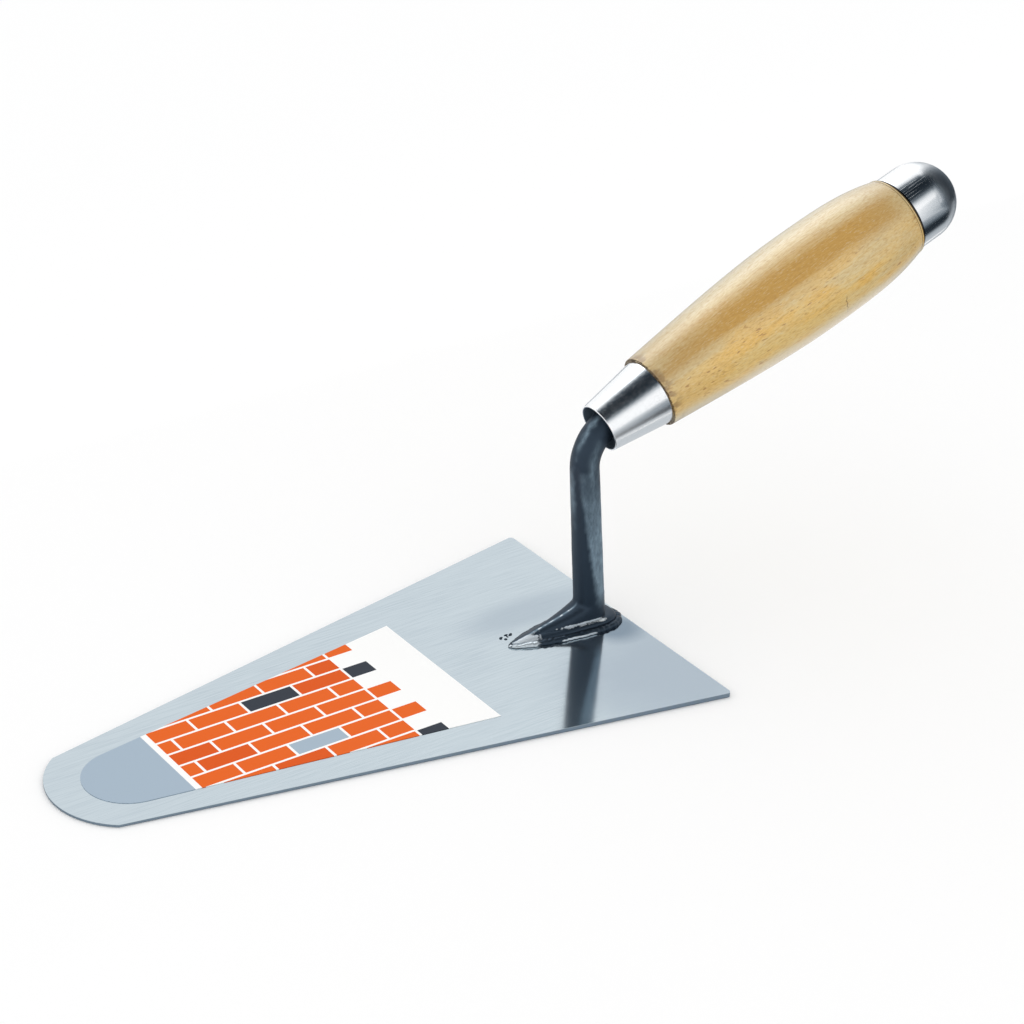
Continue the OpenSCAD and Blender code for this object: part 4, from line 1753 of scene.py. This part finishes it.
@dataclass
class Handle:
    """The turned grip between its plated ferrule and end cap."""

    shank: Shank
    mouth_s: float = 6.1
    mouth_room: float = 2.85
    ferrule_back_d: float = 22.3
    ferrule_len: float = 20.5
    wall: float = 0.7
    grip_len: float = 103.8
    front_step: float = 1.0
    grip_max_d: float = 33.8
    grip_max_at: float = 65.5
    rear_step: float = 0.8
    rear_round: float = 0.7
    crease_deep: float = 0.15
    cap_d: float = 25.98
    cap_len: float = 21.78
    fit: float = 0.05
    bore_spare: float = 3.0
    bore_tip_share: float = 0.6
    spigot_chamfer: float = 1.5
    rim_round: float = 0.2
    swell_lead: float = 0.34
    swell_rise: float = 0.45
    swell_tail: float = 0.31
    fall_lead: float = 0.41
    fall_tail: float = 0.31
    skin_share: float = 0.6
    ferrule_mottle: float = 0.1
    cap_line_share: float = 0.08
    cap_line_bands: tuple[Triple, ...] = ((31.0, 16.0, 0.9), (93.0, 11.0, 0.35))
    cap_line_run: float = 4.0
    sides: int = 160
    rim_steps: int = 6
    edge_steps: int = 4
    bead_steps: int = 12
    swell_steps: int = 48
    fall_steps: int = 36
    dome_steps: int = 40
    hollow_steps: int = 24

    @property
    def mouth_r(self) -> float:
        """Outer radius of the ferrule's mouth."""
        return self.shank.neck_r + self.mouth_room + self.wall

    @property
    def shoulder_s(self) -> float:
        """Distance of the wood's front shoulder along the handle."""
        return self.mouth_s + self.ferrule_len

    @property
    def rear_s(self) -> float:
        """Distance of the wood's rear shoulder along the handle."""
        return self.shoulder_s + self.grip_len

    @property
    def cap_r(self) -> float:
        """Outer radius of the cap."""
        return self.cap_d / 2

    @property
    def dome_s(self) -> float:
        """Distance along the handle where the cap's dome starts."""
        return self.rear_s + self.cap_len - self.cap_r

    @property
    def bead_turn(self) -> float:
        """Angle of the rear bead from its widest place forward to the crease, in radians."""
        return math.acos(1 - self.crease_deep / self.rear_round)

    @property
    def crease_s(self) -> float:
        """Distance of the crease's bottom along the handle."""
        return self.rear_s - self.rear_round * (1 + math.sin(self.bead_turn))

    def build(self) -> None:
        """Turns the three pieces."""
        lathe = Lathe()
        slope = (self.ferrule_back_d / 2 - self.mouth_r) / self.ferrule_len
        sleeve_r = self.mouth_r - slope * self.mouth_s - self.skin_share * self.wall
        drawn = PlatedSheet(sleeve_r, slope, "plated_ferrule", mottle=self.ferrule_mottle).material()
        lined = PlatedSheet(
            0.0,
            0.0,
            "plated_cap",
            Draw.COARSE,
            line_share=self.cap_line_share,
            line_bands=self.cap_line_bands,
            lines_end=self.dome_s + self.cap_line_run,
            joint_s=self.rear_s,
            satin_from=self.dome_s,
        ).material()
        wood = LacqueredBeech(self.shoulder_s, self.crease_s, self.rear_s).material()
        ferrule = lathe.turn("ferrule_sleeve", self.ferrule_profile(), True, self.sides, drawn)
        set_in_place(ferrule, "plated_sheet", "ferrule")
        grip = lathe.turn("turned_grip", self.grip_profile(), False, self.sides, wood)
        set_in_place(grip, "beech", "grip")
        cap = lathe.turn("domed_cap", self.cap_profile(), False, self.sides, lined)
        set_in_place(cap, "plated_sheet", "end_cap")

    def ferrule_profile(self) -> list[Point]:
        """Closed profile of the ferrule's sheet, with its rims rounded.

        Returns:
            Radii and distances along the handle.
        """
        back_r = self.ferrule_back_d / 2
        taper = math.degrees(math.atan((back_r - self.mouth_r) / self.ferrule_len))
        r, steps = self.rim_round, self.rim_steps
        mouth_outer = arc((self.mouth_r - r, self.mouth_s + r), r, -90, -taper, steps)
        back_outer = arc((back_r - r, self.shoulder_s - r), r, -taper, 90, steps)
        back_inner = arc((back_r - self.wall + r, self.shoulder_s - r), r, 90, 180, steps)
        mouth_inner = arc((self.mouth_r - self.wall + r, self.mouth_s + r), r, 180, 270, steps)
        return mouth_outer + back_outer + back_inner + mouth_inner

    def grip_profile(self) -> list[Point]:
        """Profile of the wood from the bore's end, over the outside, to the rear spigot's end.

        Returns:
            Radii and distances along the handle.
        """
        front_r = self.ferrule_back_d / 2 + self.front_step
        max_r = self.grip_max_d / 2
        rear_r = self.cap_r + self.rear_step
        max_s = self.shoulder_s + self.grip_max_at
        bead_centre = (rear_r - self.rear_round, self.rear_s - self.rear_round)
        bead = arc(bead_centre, self.rear_round, -math.degrees(self.bead_turn), 90, self.bead_steps)
        fall_s = self.crease_s - self.crease_deep
        fall_len = fall_s - max_s
        spigot_s = self.shank.tangent + self.shank.tang_shoulder
        bore_end = spigot_s + self.shank.tang_len + self.bore_spare
        bore_r = self.shank.tang_w * 2 ** (0.5 - 1 / self.shank.tang_power) / 2 + self.fit
        share = (spigot_s - self.mouth_s) / self.ferrule_len
        front_bore = blend(self.mouth_r, self.ferrule_back_d / 2, share) - self.wall - self.fit
        swell = curve(
            (front_r, self.shoulder_s + self.rim_round),
            (blend(front_r, max_r, self.swell_rise), self.shoulder_s + self.swell_lead * self.grip_max_at),
            (max_r, max_s - self.swell_tail * self.grip_max_at),
            (max_r, max_s),
            self.swell_steps,
        )
        fall = curve(
            (max_r, max_s),
            (max_r, max_s + self.fall_lead * fall_len),
            (max_r, fall_s - self.fall_tail * fall_len),
            (rear_r, fall_s),
            self.fall_steps,
        )
        edge_centre = (front_r - self.rim_round, self.shoulder_s + self.rim_round)
        front_edge = arc(edge_centre, self.rim_round, -90, 0, self.edge_steps)
        spigot_r = self.cap_r - self.wall - self.fit
        spigot_end = self.dome_s + self.spigot_chamfer
        return [
            (0.0, bore_end),
            (self.shank.tang_tip_w * self.bore_tip_share, bore_end),
            (bore_r, spigot_s),
            (front_bore, spigot_s),
            (self.ferrule_back_d / 2 - self.wall - self.fit, self.shoulder_s),
            *front_edge[:-1],
            *swell,
            *fall[1:],
            *bead,
            (spigot_r, self.rear_s),
            (spigot_r, self.dome_s),
            (spigot_r - self.spigot_chamfer, spigot_end),
            (0.0, spigot_end),
        ]

    def cap_profile(self) -> list[Point]:
        """Profile of the cap's sheet from the outer pole, over its rim, to the inner pole.

        Returns:
            Radii and distances along the handle.
        """
        r, steps = self.rim_round, self.rim_steps
        inner_r = self.cap_r - self.wall
        dome = arc((0.0, self.dome_s), self.cap_r, 90, 0, self.dome_steps)
        rim_outer = arc((self.cap_r - r, self.rear_s + r), r, 0, -90, steps)
        rim_inner = arc((inner_r + r, self.rear_s + r), r, -90, -180, steps)
        hollow = arc((0.0, self.dome_s), inner_r, 0, 90, self.hollow_steps)
        return [(max(0.0, x), s) for x, s in dome + rim_outer + rim_inner + hollow]


@dataclass(frozen=True)
class Card:
    """A card in the studio that only glossy surfaces see, graded from its first edge to its second.

    Each level is a share of the way and a grey. Dark greys are a little blue: red and blue are the powers of
    the grey in those channels. The ends are the shares of the card that pass into the surround.
    """

    name: str
    first: tuple[Triple, ...]
    second: tuple[Triple, ...]
    levels: tuple[Point, ...]
    gain: float = 1.0
    ends: Point = (0.0, 0.0)
    red: float = 1.1
    blue: float = 0.92

    def build(self) -> None:
        """Makes the card."""
        count = len(self.first)
        rows = [place for place, _ in self.levels]
        edges = list(zip(self.first, self.second))
        corners = [Vector(near).lerp(Vector(far), row) * MM for row in rows for near, far in edges]
        faces = [
            (k * count + i, (k + 1) * count + i, (k + 1) * count + i + 1, k * count + i + 1)
            for k in range(len(rows) - 1)
            for i in range(count - 1)
        ]
        card = new_object(self.name, corners, (), faces)
        shares = card.data.uv_layers.new(name="shares")
        for loop, uv in zip(card.data.loops, shares.data):
            uv.uv = (rows[loop.vertex_index // count], loop.vertex_index % count / (count - 1))
        card.data.materials.append(self.material())
        card.visible_camera = False
        card.visible_diffuse = False
        card.visible_shadow = False
        card.visible_transmission = False

    def material(self) -> bpy.types.Material:
        """Makes the glow, which passes into the surround at the card's ends.

        Returns:
            The card's material.
        """
        material = bpy.data.materials.new(self.name)
        material.use_nodes = True
        graph = Graph(material.node_tree)
        graph.tree.nodes.clear()
        u, v, _ = graph.parts(graph.add("ShaderNodeUVMap", uv_map="shares").outputs[0])
        greys = [(place, (grey ** self.red, grey, grey ** self.blue, 1.0)) for place, grey in self.levels]
        level = graph.ramp(u, greys)
        for end, reach in zip((0.0, 1.0), self.ends):
            if reach:
                inside = graph.fade(v, end, abs(end - reach))
                surround = 1 / self.gain
                level = graph.mix(inside, (surround, surround, surround, 1.0), level)
        glow = graph.add("ShaderNodeEmission", {"Color": level, "Strength": self.gain})
        output = graph.add("ShaderNodeOutputMaterial")
        graph.feed(output.inputs["Surface"], glow.outputs[0])
        return material


CARDS = (
    # Darkens the upper side of the ferrule and the cap
    Card(
        "card_over",
        ((-380, -217, 450), (-235, -79, 450), (80, -185, 450), (300, -185, 450)),
        ((-380, 609, 450), (-235, 466, 450), (80, 740, 450), (300, 740, 450)),
        ((0.0, 1.0), (0.04, 0.8), (0.09, 0.2), (0.15, 0.04), (0.3, 0.015), (0.5, 0.03), (0.6, 0.13),
         (0.7, 0.5), (0.83, 0.85), (1.0, 1.0)),
        ends=(0.0, 0.12),
    ),
    # Shades the dome beside its dark band
    Card(
        "card_end",
        ((-1100, 1484, -2), (-1100, 1484, 1600)),
        ((-1100, 3600, -2), (-1100, 3600, 1600)),
        ((0.0, 0.33), (0.24, 0.58), (0.4, 0.68), (0.68, 0.78), (1.0, 0.9)),
    ),
    # Darkens the band over the dome
    Card(
        "card_flag",
        ((-158, -28.6, 131), (-158, -28.6, 184)),
        ((-158, 63.6, 131), (-158, 63.6, 184)),
        ((0.0, 1.0), (0.12, 0.35), (0.18, 0.12), (0.29, 0.04), (0.45, 0.015), (0.6, 0.03), (0.65, 0.06),
         (0.72, 0.13), (0.79, 0.25), (0.9, 0.5), (1.0, 0.85)),
    ),
    # Goes on with that band lower on the dome
    Card(
        "card_flag_low",
        ((-158, -51.6, 115.5), (-158, -51.6, 131)),
        ((-158, 92, 115.5), (-158, 92, 131)),
        ((0.0, 1.0), (0.06, 0.45), (0.15, 0.25), (0.26, 0.16), (0.3, 0.1), (0.36, 0.045), (0.46, 0.015),
         (0.56, 0.03), (0.62, 0.12), (0.68, 0.19), (0.79, 0.3), (0.9, 0.5), (1.0, 0.62)),
    ),
    # Darkens the lower side of the ferrule and the cap
    Card(
        "card_low",
        ((-1100, -30, 0.5), (-290, -30, 0.5), (-60, 66, 0.5), (350, 66, 0.5)),
        ((-1100, 3000, 0.5), (-290, 3000, 0.5), (-60, 830, 0.5), (350, 830, 0.5)),
        ((0.0, 0.56), (0.018, 0.5), (0.03, 0.38), (0.04, 0.03), (0.075, 0.015), (0.09, 0.08), (0.11, 0.16),
         (0.141, 0.25), (0.286, 0.38), (0.4, 0.6), (1.0, 0.8)),
        ends=(0.0, 0.45),
    ),
    # Shades the rear edge of the dome
    Card(
        "card_side",
        ((-235, -199, 0.5), (-235, -35, 0.5)),
        ((-800, -199, 0.5), (-800, -35, 0.5)),
        ((0.0, 0.6), (0.06, 0.5), (0.2, 0.2), (0.45, 0.1), (1.0, 0.3)),
    ),
    # Keeps the ferrule's underside grey
    Card(
        "card_near",
        ((-120, -150, 0.5), (-30, -150, 0.5)),
        ((-120, 38, 0.5), (-30, 60, 0.5)),
        ((0.0, 0.64), (1.0, 0.6)),
    ),
    # Gives the plated pieces a grey far edge
    Card(
        "card_back",
        ((-1100, -200, 0.5), (400, -200, 0.5)),
        ((-1100, -2400, 0.5), (400, -2400, 0.5)),
        ((0.0, 1.0), (0.1, 0.45), (1.0, 0.35)),
    ),
    # Outlines the top of the dome against the surround
    Card(
        "card_rim",
        ((-300, -125, 60), (-208, -125, 60)),
        ((-300, -125, 212), (-208, -125, 212)),
        ((0.0, 0.36), (0.5, 0.34), (0.72, 0.5), (0.9, 0.8), (1.0, 1.0)),
        ends=(0.0, 0.35),
    ),
    # Lights the far upper side of the ferrule and the cap
    Card(
        "card_bright",
        ((-280, -130, 203), (-192, -130, 203), (-105, -130, 175), (70, -130, 175)),
        ((-280, -130, 445), (-192, -130, 445), (-105, -130, 445), (70, -130, 445)),
        ((0.0, 0.9), (0.3, 1.0), (0.65, 0.6), (1.0, 0.35)),
        gain=3.2,
        ends=(0.6, 0.1),
    ),
)


@dataclass
class Studio:
    """Floor, cards, light and camera."""

    aim: Triple = (31.46, 0.0, 49.30)
    distance: float = 883.7
    azimuth: float = 144.40
    elevation: float = 27.948
    roll: float = 1.535
    lens: float = 102.05
    sensor: float = 36.0
    floor_size: float = 6000.0
    floor_drop: float = 0.2
    sky: float = 1.04

    def build(self) -> None:
        """Sets up the studio."""
        self.place_camera()
        self.lay_floor()
        self.light()
        for card in CARDS:
            card.build()
        bpy.context.scene.view_settings.view_transform = "Standard"

    def place_camera(self) -> None:
        """Makes the camera that looks from the photograph's viewing angle."""
        a, e = math.radians(self.azimuth), math.radians(self.elevation)
        back = Vector((math.sin(a) * math.cos(e), -math.cos(a) * math.cos(e), math.sin(e)))
        data = bpy.data.cameras.new("camera")
        data.lens = self.lens
        data.sensor_width = self.sensor
        camera = bpy.data.objects.new("camera", data)
        bpy.context.scene.collection.objects.link(camera)
        level = back.to_track_quat("Z", "Y").to_matrix().to_4x4()
        spot = (Vector(self.aim) + back * self.distance) * MM
        roll = Matrix.Rotation(math.radians(self.roll), 4, "Z")
        camera.matrix_world = Matrix.Translation(spot) @ level @ roll
        bpy.context.scene.camera = camera

    def lay_floor(self) -> None:
        """Makes the pale floor just below the blade."""
        half, z = self.floor_size / 2 * MM, -self.floor_drop * MM
        corners = [(-half, -half, z), (half, -half, z), (half, half, z), (-half, half, z)]
        floor = new_object("floor", corners, (), [(0, 1, 2, 3)])
        floor.data.materials.append(PlainMatt().material())

    def light(self) -> None:
        """Makes the even white surround."""
        world = bpy.data.worlds.new("studio")
        world.use_nodes = True
        graph = Graph(world.node_tree)
        graph.tree.nodes.clear()
        sky = graph.add("ShaderNodeBackground", {"Color": (1.0, 1.0, 1.0, 1.0), "Strength": self.sky})
        output = graph.add("ShaderNodeOutputWorld")
        graph.feed(output.inputs["Surface"], sky.outputs[0])
        bpy.context.scene.world = world


def main() -> None:
    """Builds the studio and the trowel's pieces in order."""
    logging.basicConfig(level=logging.INFO, format="%(message)s")
    Studio().build()
    blade = Blade()
    blade.dress()
    shank = Shank(blade)
    shank.build()
    Weld(shank).build()
    Handle(shank).build()


if __name__ == "__main__":
    main()
